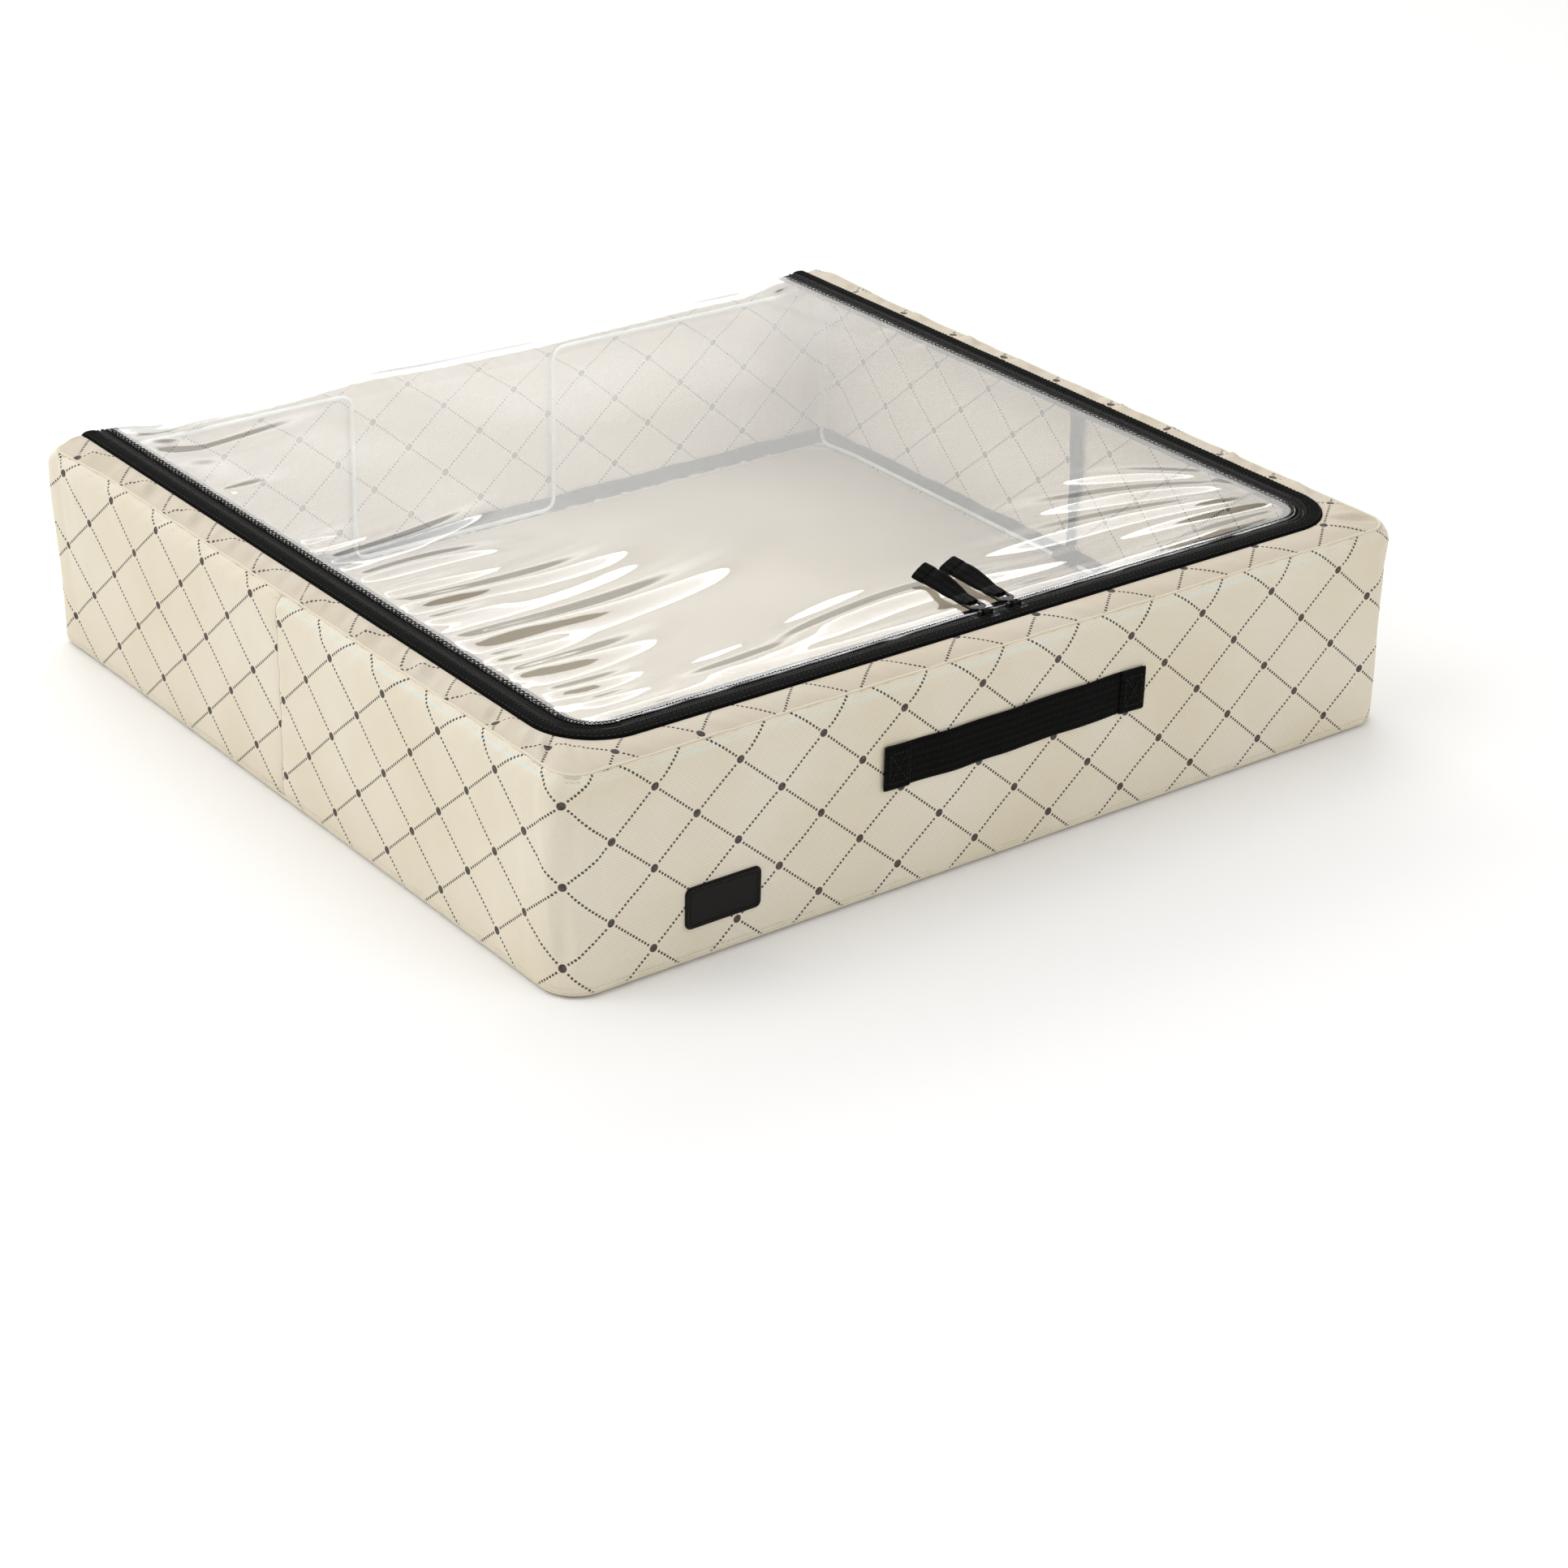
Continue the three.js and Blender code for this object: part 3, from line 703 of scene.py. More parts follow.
def wall_relief(along, up, point):
    """How far wall cloth stands out: wire ridges, sag, corner folds and puckers at the seams."""
    x, y = point[..., 0], point[..., 1]
    on_front = smooth(-y, -FRONT_Y - 2 * MM, -FRONT_Y)
    on_rear = smooth(y, REAR_Y - 2 * MM, REAR_Y)
    ridge_up = WIRE_TOP_Z - BOTTOM_Z
    relief = 0.55 * MM * (on_front + on_rear) * hump(up, ridge_up, 2.6 * MM)
    middle = np.sin(math.pi * np.clip(up / WALL_RISE, 0, 1))
    relief = relief + middle * (0.5 + 0.8 * waves(along, 410 * MM, 3)) * MM
    relief = relief + 0.35 * MM * middle * waves(along + 0.35 * up, 95 * MM, 5)
    corner = hump(np.abs(x) - HALF_WIDTH + CORNER_RADIUS / 3, 0, 26 * MM)
    corner = corner * hump(np.minimum(y - FRONT_Y, REAR_Y - y), CORNER_RADIUS / 3, 26 * MM)
    relief = relief + 0.85 * MM * corner * waves(along + 0.12 * up, 27 * MM, 8) * smooth(up, 0, 25 * MM)
    valley = hump(along, CORNER_FOLD_AT + 0.04 * up, 6 * MM) + 0.6 * hump(along, -CORNER_FOLD_AT, 7 * MM)
    relief = relief - 3.0 * MM * valley * smooth(up, 4 * MM, 30 * MM) * (1 - smooth(up, 98 * MM, 120 * MM))
    relief = relief + rear_flare(x, y) * (0.2 + 0.8 * np.clip(up / WALL_RISE, 0, 1))
    near_top = hump(up, WALL_RISE, 11 * MM)
    relief = relief + 0.38 * MM * near_top * waves(along - 0.8 * up, 17 * MM, 13)
    near_floor = hump(up, 0, 9 * MM)
    relief = relief + 0.25 * MM * near_floor * waves(along + 0.5 * up, 21 * MM, 17)
    at_side_seam = hump(y, SIDE_SEAM_Y, 16 * MM) * (np.abs(x) > HALF_WIDTH - 1 * MM)
    relief = relief + 0.35 * MM * at_side_seam * waves(up - 0.4 * along, 24 * MM, 19)
    groove = np.exp(-np.abs(y - SIDE_SEAM_Y) / (1.1 * MM)) * (np.abs(x) > HALF_WIDTH - 1 * MM)
    return relief - 0.9 * MM * groove


def wall_sheet(name, low, high, first_dot, dot_row, cloth, node):
    """One strip of cloth round half of the box.

    first_dot and dot_row are the distance round the box and the height of one dot of its print.
    """
    along = steps(low, high, 2.6 * MM)
    up = np.concatenate([
        steps(0, BOTTOM_ROLL * math.pi / 2, 1.1 * MM)[:-1],
        steps(BOTTOM_ROLL * math.pi / 2, 104 * MM, 3.0 * MM)[:-1],
        steps(104 * MM, WALL_RISE, 1.2 * MM),
    ])
    along, up = np.meshgrid(along, up, indexing="ij")
    signed = np.where(along > box_ring.half_length, along - 2 * box_ring.half_length, along)
    inset, height = wall_profile(up)
    point, normal = box_ring.at(signed)
    at_rear = smooth(point[..., 1], REAR_Y - 3 * MM, REAR_Y)
    at_rear = at_rear * smooth(FILM_HALF + 14 * MM - np.abs(point[..., 0]), 0, 22 * MM)
    inset = inset * (1 - 0.72 * at_rear * smooth(up, WALL_RISE / 2, WALL_RISE))
    height = height - rear_dip(point[..., 0]) * at_rear * smooth(up, WALL_RISE - 40 * MM, WALL_RISE)
    inset = inset - wall_relief(signed, up, point)
    place_xy = point - normal * inset[..., None]
    outer = np.concatenate([place_xy, height[..., None]], axis=-1)
    uv = np.stack([along - first_dot, up - up_at(dot_row)], axis=-1)
    sheet = shell(name, outer, CLOTH, uv, [cloth, canvas_back])
    return place(sheet, "root", "canvas", node)


front_dot = -(HALF_WIDTH - CORNER_RADIUS + 20.3 * MM)
front_cloth = wall_sheet(
    "front_wall_cloth", -SIDE_SEAM_AT + 0.15 * MM, SIDE_SEAM_AT - 0.15 * MM,
    front_dot, FRONT_DOT_ROW_Z, front_canvas, "front_wall",
)
full_round = 2 * box_ring.half_length
rear_dot = full_round - SIDE_SEAM_AT - 27.5 * MM
rear_cloth = wall_sheet(
    "rear_wall_cloth", SIDE_SEAM_AT + 0.15 * MM, full_round - SIDE_SEAM_AT - 0.15 * MM,
    rear_dot, REAR_DOT_ROW_Z, canvas, "rear_wall",
)


# ---------------------------------------------------------------- cloth rim between the walls and the zipper

def rim_pattern(x, y):
    """Cloth coordinates of the rim, a little gathered along its sides."""
    from_dot = (x + 111.7 * MM) / MM
    near_front = 1 - smooth(y, -245 * MM, -150 * MM)
    columns = from_dot / np.where(from_dot < 0, 26.9 - 1.8 * near_front, 28.5)
    drift = near_front * np.interp(x / MM, [-265, -210, -160, -109, 34, 150, 202], [-9, -2, 3, 4, 9, 8, 8])
    rows = np.interp(y / MM + drift, [-297, -273, -249, -115.5, 335], [-1, 0, 1, 7, 24])
    return np.stack([columns * LATTICE_U, rows * LATTICE_V], axis=-1)


def rim_cloth():
    """The cloth between the walls' top seam and the zipper, which narrows round the front corners."""
    reach = box_ring.rear_edge_at - 1.5 * MM
    along = steps(-reach, reach, 2.4 * MM)
    across = np.concatenate([[-0.04], np.linspace(0, 1, 13), [1.10]])
    seam, _ = box_ring.at(along, SEAM_INSET)
    seam, _ = box_ring.at(along, SEAM_INSET - rear_flare(seam[:, 0], seam[:, 1]))
    held = np.clip(np.abs(seam[:, 0]), 0, ZIP_HALF - ZIP_RADIUS) * np.sign(seam[:, 0])
    pivot_y = np.clip(seam[:, 1], ZIP_FRONT + ZIP_RADIUS, ZIP_END)
    away = seam - np.stack([held, pivot_y], axis=-1)
    away /= np.maximum(np.linalg.norm(away, axis=1, keepdims=True), 1e-9)
    zip_edge = np.stack([held, pivot_y], axis=-1) + away * ZIP_RADIUS
    behind = seam[:, 1] > ZIP_FRONT + ZIP_RADIUS
    zip_edge[behind, 0] = np.sign(seam[behind, 0]) * ZIP_HALF
    zip_edge[behind, 1] = np.minimum(seam[behind, 1], ZIP_END)
    flat = seam[:, None] + (zip_edge - seam)[:, None] * across[None, :, None]
    part = np.clip(across, 0, 1)[None, :]
    width = np.linalg.norm(zip_edge - seam, axis=1)[:, None]
    height = SEAM_Z + (RIM_INNER_Z - SEAM_Z) * np.sin(part * math.pi / 2) ** 0.85
    height = height - 1.2 * MM * (across[None, :] > 1) - 0.9 * MM * (across[None, :] < 0)
    gather = 0.35 + 1.25 * smooth(np.abs(along), 240 * MM, 330 * MM)[:, None]
    swell = np.sin(part * math.pi) * smooth(width, 4 * MM, 16 * MM)
    line = along[:, None] + width * across[None, :] * 0.7
    puckers = 0.5 + 0.9 * waves(line, 52 * MM, 23) + 0.35 * waves(line, 17 * MM, 29)
    height = height + swell * gather * puckers * MM
    grid = with_height(flat, height)
    uv = rim_pattern(flat[..., 0], flat[..., 1])
    # The rim's canvas is the walls' canvas with painted shade.
    piece = shell("rim_cloth", grid, CLOTH, uv, [rim_canvas_painted_shade, canvas_back])
    return place(piece, "root", "canvas", "top_band")


rim = rim_cloth()


def seam_line(inset, height, low, high, flare=0.0):
    """A line round the box at an inset and a height, with its outward directions."""
    along = steps(low, high, 2 * MM)
    point, _ = box_ring.at(along, inset)
    point, normal = box_ring.at(along, inset - flare * rear_flare(point[:, 0], point[:, 1]))
    return line_at(point, height), line_at(normal, 0.0)


rim_reach = box_ring.rear_edge_at
welt_line, _ = seam_line(SEAM_INSET + 0.3 * MM, SEAM_Z + 0.1 * MM, -rim_reach, rim_reach, 1.0)
welt_line[:, 2] += 0.25 * MM * waves(np.arange(len(welt_line)) * 2 * MM, 60 * MM, 41)
rim_welt = tube("rim_welt", welt_line, 0.75 * MM, cream_thread, 8)
place(rim_welt, "root", "canvas")

stitch_line, stitch_out = seam_line(SEAM_INSET - 2.6 * MM, SEAM_Z - 2.6 * MM, -rim_reach, rim_reach, 0.98)
lift = stitch_out * 0.8 + np.array([0, 0, 0.6])
rim_stitches = stitch_rows(
    "rim_stitches", [(stitch_line, lift)], 2.4 * MM, 0.8 * MM, 0.26 * MM, cream_thread
)
place(rim_stitches, "root", "canvas")


# ---------------------------------------------------------------- floor cloth and its seam

def floor_cloth():
    """The printed cloth under the box."""
    inset = BOTTOM_ROLL - 0.4 * MM
    radii = (CORNER_RADIUS - inset, REAR_RADIUS - inset)
    flat = panel_grid(HALF_WIDTH - inset, FRONT_Y + inset, REAR_Y - inset, *radii, 6 * MM)
    x, y = flat[..., 0], flat[..., 1]
    inside = smooth(HALF_WIDTH - np.abs(x), 3 * MM, 25 * MM)
    sag = 0.22 * MM * (1 + waves(x + 0.3 * y, 120 * MM, 51)) * inside
    under = with_height(flat, 0.12 * MM + sag)
    top = with_height(flat, 0.95 * MM + sag)
    piece = shell("floor_cloth", top, 0, flat, [canvas_back, canvas], inner=under)
    return place(piece, "root", "canvas", "bottom_panel")


bottom = floor_cloth()
hem_line, _ = seam_line(0.9 * MM, 2.5 * MM, -box_ring.half_length, box_ring.half_length, 0.2)
bottom_welt = tube("bottom_welt", hem_line[:-1], 0.8 * MM, cream_thread, 8, closed=True)
place(bottom_welt, "root", "canvas")
hem_line, hem_out = seam_line(-0.15 * MM, 6.0 * MM, -box_ring.half_length, box_ring.half_length, 0.23)
bottom_stitches = stitch_rows(
    "bottom_stitches", [(hem_line, hem_out)], 2.4 * MM, 0.9 * MM, 0.24 * MM, cream_thread
)
place(bottom_stitches, "root", "canvas")


# ---------------------------------------------------------------- zipper

def zip_strip(
    name, insets, heights, material, body, slot, nodes, low=-ZIP_REACH, high=ZIP_REACH, step=2.2 * MM
):
    """A strip along the zipper with a cross-section of insets and heights."""
    along = steps(low, high, step)
    insets, heights = np.array(insets) * MM, np.array(heights) * MM
    grid_along, grid_inset = np.meshgrid(along, insets, indexing="ij")
    flat, _ = zip_ring.at(grid_along, grid_inset)
    lumps = 0.14 * MM * waves(grid_along, 38 * MM, 61)
    lumps = lumps + 0.06 * MM * waves(grid_along + grid_inset, 9 * MM, 62)
    grid = with_height(flat, heights[None, :] + lumps)
    uv = np.stack([grid_along, grid_inset], axis=-1)
    piece = shell(name, grid, 0.5 * MM, uv, [material])
    return place(piece, body, slot, *nodes)


def coil_row(name, centre, lean, body, node):
    """One side of the coil: a row of slanting nylon turns under the tape's edge."""
    pitch = 1.5 * MM
    half = 1.45 * MM
    along = steps(-ZIP_REACH, ZIP_REACH, pitch / 5)
    across = np.sin(np.linspace(-math.pi / 2, math.pi / 2, 7)) * half
    grid_along, grid_across = np.meshgrid(along, across, indexing="ij")
    flat, _ = zip_ring.at(grid_along, centre * MM + grid_across)
    round_top = np.sqrt(np.clip(1 - (grid_across / half) ** 2, 0, 1))
    turn = np.cos(2 * math.pi * (grid_along / pitch + lean * grid_across / (2.2 * half)))
    grid = with_height(flat, RIM_INNER_Z + round_top * (1.05 + 0.55 * turn) * MM)
    inner = with_height(flat, RIM_INNER_Z - 0.4 * MM)
    uv = np.stack([grid_along, grid_across], axis=-1)
    piece = shell(name, grid, 0, uv, [nylon], inner=inner)
    return place(piece, body, "zip_coil", node)


outer_tape = zip_strip(
    "outer_tape_cloth",
    [0.1, 0.5, 1.2, 2.6, 4.4, 6.2, 7.4, 8.2, 8.7, 11.2],
    [132.4, 133.1, 133.6, 133.95, 134.1, 133.95, 133.6, 133.2, 132.75, 132.6],
    tape_black, "root", "black_tape", ["outer_zip_tape"],
)
inner_tape = zip_strip(
    "inner_tape_cloth",
    [12.9, 15.0, 15.4, 16.0, 17.4, 19.0, 21.0, 23.6, 24.0],
    [132.6, 132.75, 133.1, 133.3, 133.2, 132.9, 132.75, 132.6, 132.4],
    tape_black, "lid", "black_tape", ["inner_zip_tape"],
)
coil_row("outer_coil_turns", 10.25, 1, "root", "outer_zip_coil")
coil_row("inner_coil_turns", 13.6, -1, "lid", "inner_zip_coil")


def tape_stitches(name, inset, height, body):
    """A row of stitches all along the zipper, at an inset and a height."""
    flat, _ = zip_ring.at(steps(-ZIP_REACH, ZIP_REACH, 2 * MM), inset)
    row = (line_at(flat, height), (0, 0, 1.0))
    piece = stitch_rows(name, [row], 2.3 * MM, 0.9 * MM, 0.24 * MM, black_thread)
    return place(piece, body, "black_tape")


outer_stitches = tape_stitches("outer_tape_stitches", 1.9 * MM, 133.95 * MM, "root")
outer_row = tape_stitches("outer_coil_stitches", 7.9 * MM, 133.5 * MM, "root")
inner_row = tape_stitches("inner_coil_stitches", 16.4 * MM, 133.6 * MM, "lid")


def zip_end(side):
    """Folded tape over the rear end of the zipper."""
    name = "left" if side < 0 else "right"
    start_y, run, fold_radius, top_z = 274 * MM, 8 * MM, 1.8 * MM, 134.3 * MM
    across = side * (ZIP_HALF - np.linspace(-0.4, 11.2, 9) * MM)
    turn = np.linspace(0, 1, 15)
    bend = np.clip(turn * 2 - 1, 0, 1) * math.pi / 2
    run_y = start_y + run * np.clip(turn * 2, 0, 1) + fold_radius * np.sin(bend)
    run_z = top_z - fold_radius * (1 - np.cos(bend)) - 2.5 * MM * smooth(turn, 0.9, 1.0)
    x = np.broadcast_to(across[:, None], (9, 15))
    edge = np.abs(np.linspace(-1, 1, 9))[:, None] ** 3
    z = run_z[None, :] - 1.5 * MM * edge - 0.9 * MM * (1 - smooth(turn, 0, 0.3))[None, :]
    grid = np.stack([x, np.broadcast_to(run_y, x.shape) - 1.5 * MM * edge * turn[None, :], z], axis=-1)
    if side > 0:
        grid = grid[::-1]
    piece = shell(f"zip_end_fold_{name}", grid, 0.9 * MM, grid[..., :2].copy(), [tape_black])
    return place(piece, "root", "black_tape", f"zip_end_{name}")


for end_side in (-1, 1):
    zip_end(end_side)


# ---------------------------------------------------------------- clear film

# Folds in the film, in millimetres: start and end of the crest, half width, height
FOLDS = [
    (-264, 24, -110, 58, 8.0, 1.9),
    (-264, -6, -140, -12, 7.0, 1.3),
    (-264, -30, -180, -30, 6.0, 0.7),
    (-264, -50, -80, -42, 9.0, 2.0),
    (-264, -76, -190, -70, 6.0, 0.8),
    (-264, -112, -40, -90, 12.0, 3.0),
    (-264, -136, -190, -132, 6.5, 0.9),
    (-264, -161, -140, -152, 9.5, 2.2),
    (-256, -191, -180, -188, 7.0, 1.3),
    (-246, -212, -190, -208, 6.0, 0.9),
    (-190, -220, 0, -188, 9.0, 1.6),
    (-110, -206, 130, -214, 9.0, 1.7),
    (264, -213, 60, -207, 7.0, 1.2),
    (264, -200, 30, -176, 12.0, 2.4),
    (264, -184, 80, -134, 13.0, 2.3),
    (260, -166, 150, -100, 11.0, 1.3),
    (-262, 60, -200, 66, 7.0, 0.6),
    (-262, 150, -206, 158, 8.0, 0.7),
    (-262, 222, -120, 246, 9.0, 1.0),
    (-250, 262, -150, 258, 7.0, 0.8),
]


def film_folds(x, y):
    """Height of all the folds at points in millimetres."""
    total = np.zeros(x.shape)
    for x0, y0, x1, y1, half, height in FOLDS:
        span = math.hypot(x1 - x0, y1 - y0)
        course = ((x1 - x0) / span, (y1 - y0) / span)
        along = ((x - x0) * course[0] + (y - y0) * course[1]) / span
        bow = 0.05 * span * np.sin(math.pi * np.clip(along, 0, 1)) * np.sign(y1 - y0)
        off = (y - y0) * course[0] - (x - x0) * course[1] + bow
        width = half * (0.7 + 0.5 * np.clip(along, 0, 1))
        end = smooth(along, -0.10, 0.22) * (1 - smooth(along, 0.30, 1.15))
        total += height * end * (hump(off, 0, width) - 0.35 * hump(off, 1.9 * width, width))
    return total


def film_height(x, y):
    """Height of the film over the lid, in metres, from places in metres."""
    x, y = x / MM, y / MM
    half, front, rear = FILM_HALF / MM, FILM_FRONT / MM, FILM_REAR / MM
    left, right, near, far = x + half, half - x, y - front, rear - y
    inner = np.minimum(np.minimum(left, right), near)
    sag = -1.4 * smooth(inner, 4, 130) * smooth(far, 0, 160)
    swell = 0.30 * waves(x + 0.4 * y, 420, 71) * smooth(inner, 8, 110) * smooth(far, 5, 140)
    swell = swell + 0.20 * waves(y - 0.25 * x, 330, 72) * smooth(inner, 8, 90) * smooth(far, 5, 140)
    patchy = 0.55 + 0.45 * waves(y, 95, 78)
    pull = patchy * np.exp(-left / 13.0) * (0.30 * waves(y - 0.15 * left, 15, 73) + 0.42 * waves(y, 31, 74))
    right_waves = 0.25 * waves(y + 0.2 * right, 17, 75) + 0.30 * waves(y, 37, 76)
    pull = pull + patchy * np.exp(-right / 11.0) * right_waves
    pull = pull * smooth(np.minimum(left, right), 2.0, 7.0)
    lip = 0.9 * hump(near, 8.5, 5.0) * (1 + 0.25 * waves(x, 130, 77))
    folds = film_folds(x, y) * smooth(inner, 1.5, 14) * smooth(far, 0, 12)
    rise = sag + swell + pull + lip * smooth(np.minimum(left, right), 4, 30) + folds
    dip = rear_dip(x * MM) / MM * (1 - smooth(far, 0, 170)) * 0.9
    fall_end = 0.5 * (1 - smooth(far, 0, 6))
    return FILM_Z + (rise - dip - fall_end) * MM


def film_window():
    """The lid's panel of film, with its folds."""
    flat = panel_grid(
        FILM_HALF + 2.5 * MM, FILM_FRONT - 2 * MM, FILM_REAR, ZIP_RADIUS - 17 * MM, 0, 2.4 * MM, 1.12
    )
    grid = with_height(flat, film_height(flat[..., 0], flat[..., 1]))
    piece = shell("film_window", grid, 0.3 * MM, flat, [film])
    return place(piece, "lid", "clear_film", "clear_window")


window = film_window()


def film_hem():
    """Film turned down over the rear wall and sewn there."""
    x = steps(-FILM_HALF, FILM_HALF, 4 * MM)
    turn = np.linspace(0, 1, 22)
    bend = np.clip(turn / 0.3, 0, 1) * math.pi / 2
    drop = np.clip((turn - 0.3) / 0.7, 0, 1) * 11 * MM
    y = FILM_REAR + 0.25 * MM + 1.3 * MM * np.sin(bend)
    z = 132.9 * MM - 1.3 * MM * (1 - np.cos(bend)) - drop
    grid_x = np.broadcast_to(x[:, None], (len(x), len(turn)))
    top = rear_dip(grid_x) * 0.9
    z = z[None, :] - top
    ripple = 0.35 * MM * waves(grid_x, 34 * MM, 81) * smooth(turn, 0.2, 1.0)[None, :]
    grid = np.stack([grid_x, y[None, :] + ripple, z], axis=-1)
    piece = shell("film_hem", grid, 0.3 * MM, grid[..., ::2].copy(), [film])
    place(piece, "root", "clear_film", "rear_window_hem")
    line = grid[:, 17].copy()
    line[:, 1] += 0.25 * MM
    row = stitch_rows(
        "film_hem_stitches", [(line, (0, 1.0, 0))], 2.6 * MM, 0.9 * MM, 0.25 * MM, cream_thread
    )
    place(row, "root", "clear_film")
    return piece, row


hem, hem_row = film_hem()


def film_edge_thread():
    """Zigzag thread that holds the film to the inner tape."""
    spacing = 2.0 * MM
    count = round(2 * ZIP_REACH / spacing)
    along = np.linspace(-ZIP_REACH + 2 * MM, ZIP_REACH - 2 * MM, count)
    swing = np.where(np.arange(count) % 2 == 0, -1.0, 1.0)
    sides = smooth(np.abs(along), 225 * MM, 275 * MM)
    reach = np.where(along < 0, 1.45, 0.8) * sides
    inset = (17.4 + 0.9 * sides + swing * (0.25 + reach)) * MM
    flat, _ = zip_ring.at(along, inset)
    height = film_height(np.clip(flat[:, 0], -FILM_HALF, FILM_HALF), np.minimum(flat[:, 1], FILM_REAR))
    line = line_at(flat, height + 0.45 * MM)
    up = np.broadcast_to((0, 0, 1.0), (count - 1, 3))
    piece = spindles("film_edge_thread", line[:-1], line[1:], up, 0.40 * MM, black_thread)
    return place(piece, "lid", "black_tape")


def film_edge_bead():
    """The film's folded front edge, a thin bead beside the zipper whose paleness is a painted highlight."""
    along = steps(-228 * MM, 262 * MM, 2 * MM)
    flat, _ = zip_ring.at(along, 16.4 * MM + 0.25 * MM * waves(along, 90 * MM, 64))
    line = line_at(flat, FILM_Z + (0.1 + 0.3 * waves(along, 70 * MM, 65)) * MM)
    piece = tube("film_edge_bead", line, 0.55 * MM, film_edge, 8)
    return place(piece, "lid", "clear_film")


edge_pieces = [film_edge_thread(), film_edge_bead()]


# ---------------------------------------------------------------- bindings inside the box

def floor_binding():
    """Black tape over the seam between the walls and the floor."""
    along = steps(-box_ring.half_length, box_ring.half_length, 3 * MM)[:-1]
    part = np.linspace(0, 1, 7)
    grid_along, grid_part = np.meshgrid(along, part, indexing="ij")
    top = 12 * MM + 0.5 * MM * waves(grid_along, 70 * MM, 91) * (grid_part > 0)
    height = 1.4 * MM + (top - 1.4 * MM) * grid_part
    swell = 0.35 * MM * waves(grid_along, 31 * MM, 92) * grid_part
    corner_lift = 1.6 * MM * (1 - smooth(height, 1 * MM, 6 * MM))
    flat, _ = box_ring.at(grid_along, 2.2 * MM + corner_lift + np.abs(swell))
    grid = with_height(flat, height)
    uv = np.stack([grid_along, height], axis=-1)
    piece = shell("floor_binding_tape", grid, -0.7 * MM, uv, [binding_black], wrap=True)
    return place(piece, "root", "black_tape", "floor_binding")


def top_binding():
    """Black tape inside the seam under the rim."""
    reach = box_ring.rear_edge_at - 4 * MM
    along = steps(-reach, reach, 3 * MM)
    up = np.linspace(WALL_RISE - 10.5 * MM, WALL_RISE - 1.2 * MM, 7)
    grid_along, grid_up = np.meshgrid(along, up, indexing="ij")
    inset, height = wall_profile(grid_up)
    point, _ = box_ring.at(grid_along)
    inset = inset + CLOTH + 0.7 * MM - wall_relief(grid_along, grid_up, point)
    flat, _ = box_ring.at(grid_along, inset)
    height = height - 0.5 * MM + 0.6 * MM * waves(grid_along, 43 * MM, 95) * (WALL_RISE - grid_up) / (9 * MM)
    grid = with_height(flat, height)
    uv = np.stack([grid_along, grid_up], axis=-1)
    piece = shell("rim_binding_tape", grid, -0.6 * MM, uv, [binding_black])
    return place(piece, "root", "black_tape", "top_binding")


def side_binding(side):
    """Black tape down a side seam, wider at its top."""
    name = "left" if side < 0 else "right"
    height = steps(12.5 * MM, 122 * MM, 3 * MM)
    part = np.linspace(-1, 1, 7)
    grid_height, grid_part = np.meshgrid(height, part, indexing="ij")
    half = 3.4 * MM + 3.4 * MM * smooth(grid_height, 20 * MM, 120 * MM)
    half = half + 0.5 * MM * waves(grid_height, 60 * MM, 97)
    y = SIDE_SEAM_Y + grid_part * half + 0.8 * MM * waves(grid_height, 130 * MM, 98)
    crown = 0.5 * MM * (1 - grid_part**2)
    x = side * (HALF_WIDTH - 2.6 * MM - crown)
    grid = np.stack([x, y, grid_height], axis=-1)
    if side > 0:
        grid = grid[:, ::-1]
    uv = np.stack([grid_height, grid_part * half], axis=-1)
    piece = shell(f"side_binding_tape_{name}", grid, 0.5 * MM, uv, [binding_black])
    return place(piece, "root", "black_tape", f"side_binding_{name}")


floor_tape = floor_binding()
rim_tape = top_binding()
side_tapes = [side_binding(-1), side_binding(1)]


# ---------------------------------------------------------------- base board

def board_piece():
    """The covered board that lies on the floor of the box."""
    low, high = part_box("base_board")
    flat = panel_grid(high.x - 0.5 * MM, low.y + 0.5 * MM, high.y - 0.5 * MM, 30 * MM, 30 * MM, 5 * MM)
    x, y = flat[..., 0], flat[..., 1]
    rim_gap = np.minimum(high.x - np.abs(x), np.minimum(y - low.y, high.y - y))
    warp = 0.22 * MM * waves(x - 0.3 * y, 260 * MM, 101) * smooth(rim_gap, 0, 60 * MM)
    top = with_height(flat, high.z - 0.25 * MM + warp - 0.9 * MM * (1 - smooth(rim_gap, 0, 2.5 * MM)))
    under = with_height(flat, low.z + 0.1 * MM)
    piece = shell("board_cover", top, 0, flat, [cover], inner=under)
    return place(piece, "board", "board", "base_board")


board_piece()


# ---------------------------------------------------------------- carrying handle and label

def webbing_relief(along, across, pitch, depth):
    """Cross ribs of woven webbing, stepped from one warp bundle to the next."""
    bundle = 0.25 * np.cos(2 * math.pi * across / (4 * pitch))
    return depth * (0.5 + 0.5 * np.cos(2 * math.pi * (along / pitch + bundle)))


def wall_front_at(x, z):
    """Y of the front wall's face, as its cloth lies."""
    point = np.stack([x, np.full(np.shape(x), FRONT_Y)], axis=-1)
    return FRONT_Y - wall_relief(x, up_at(z), point)


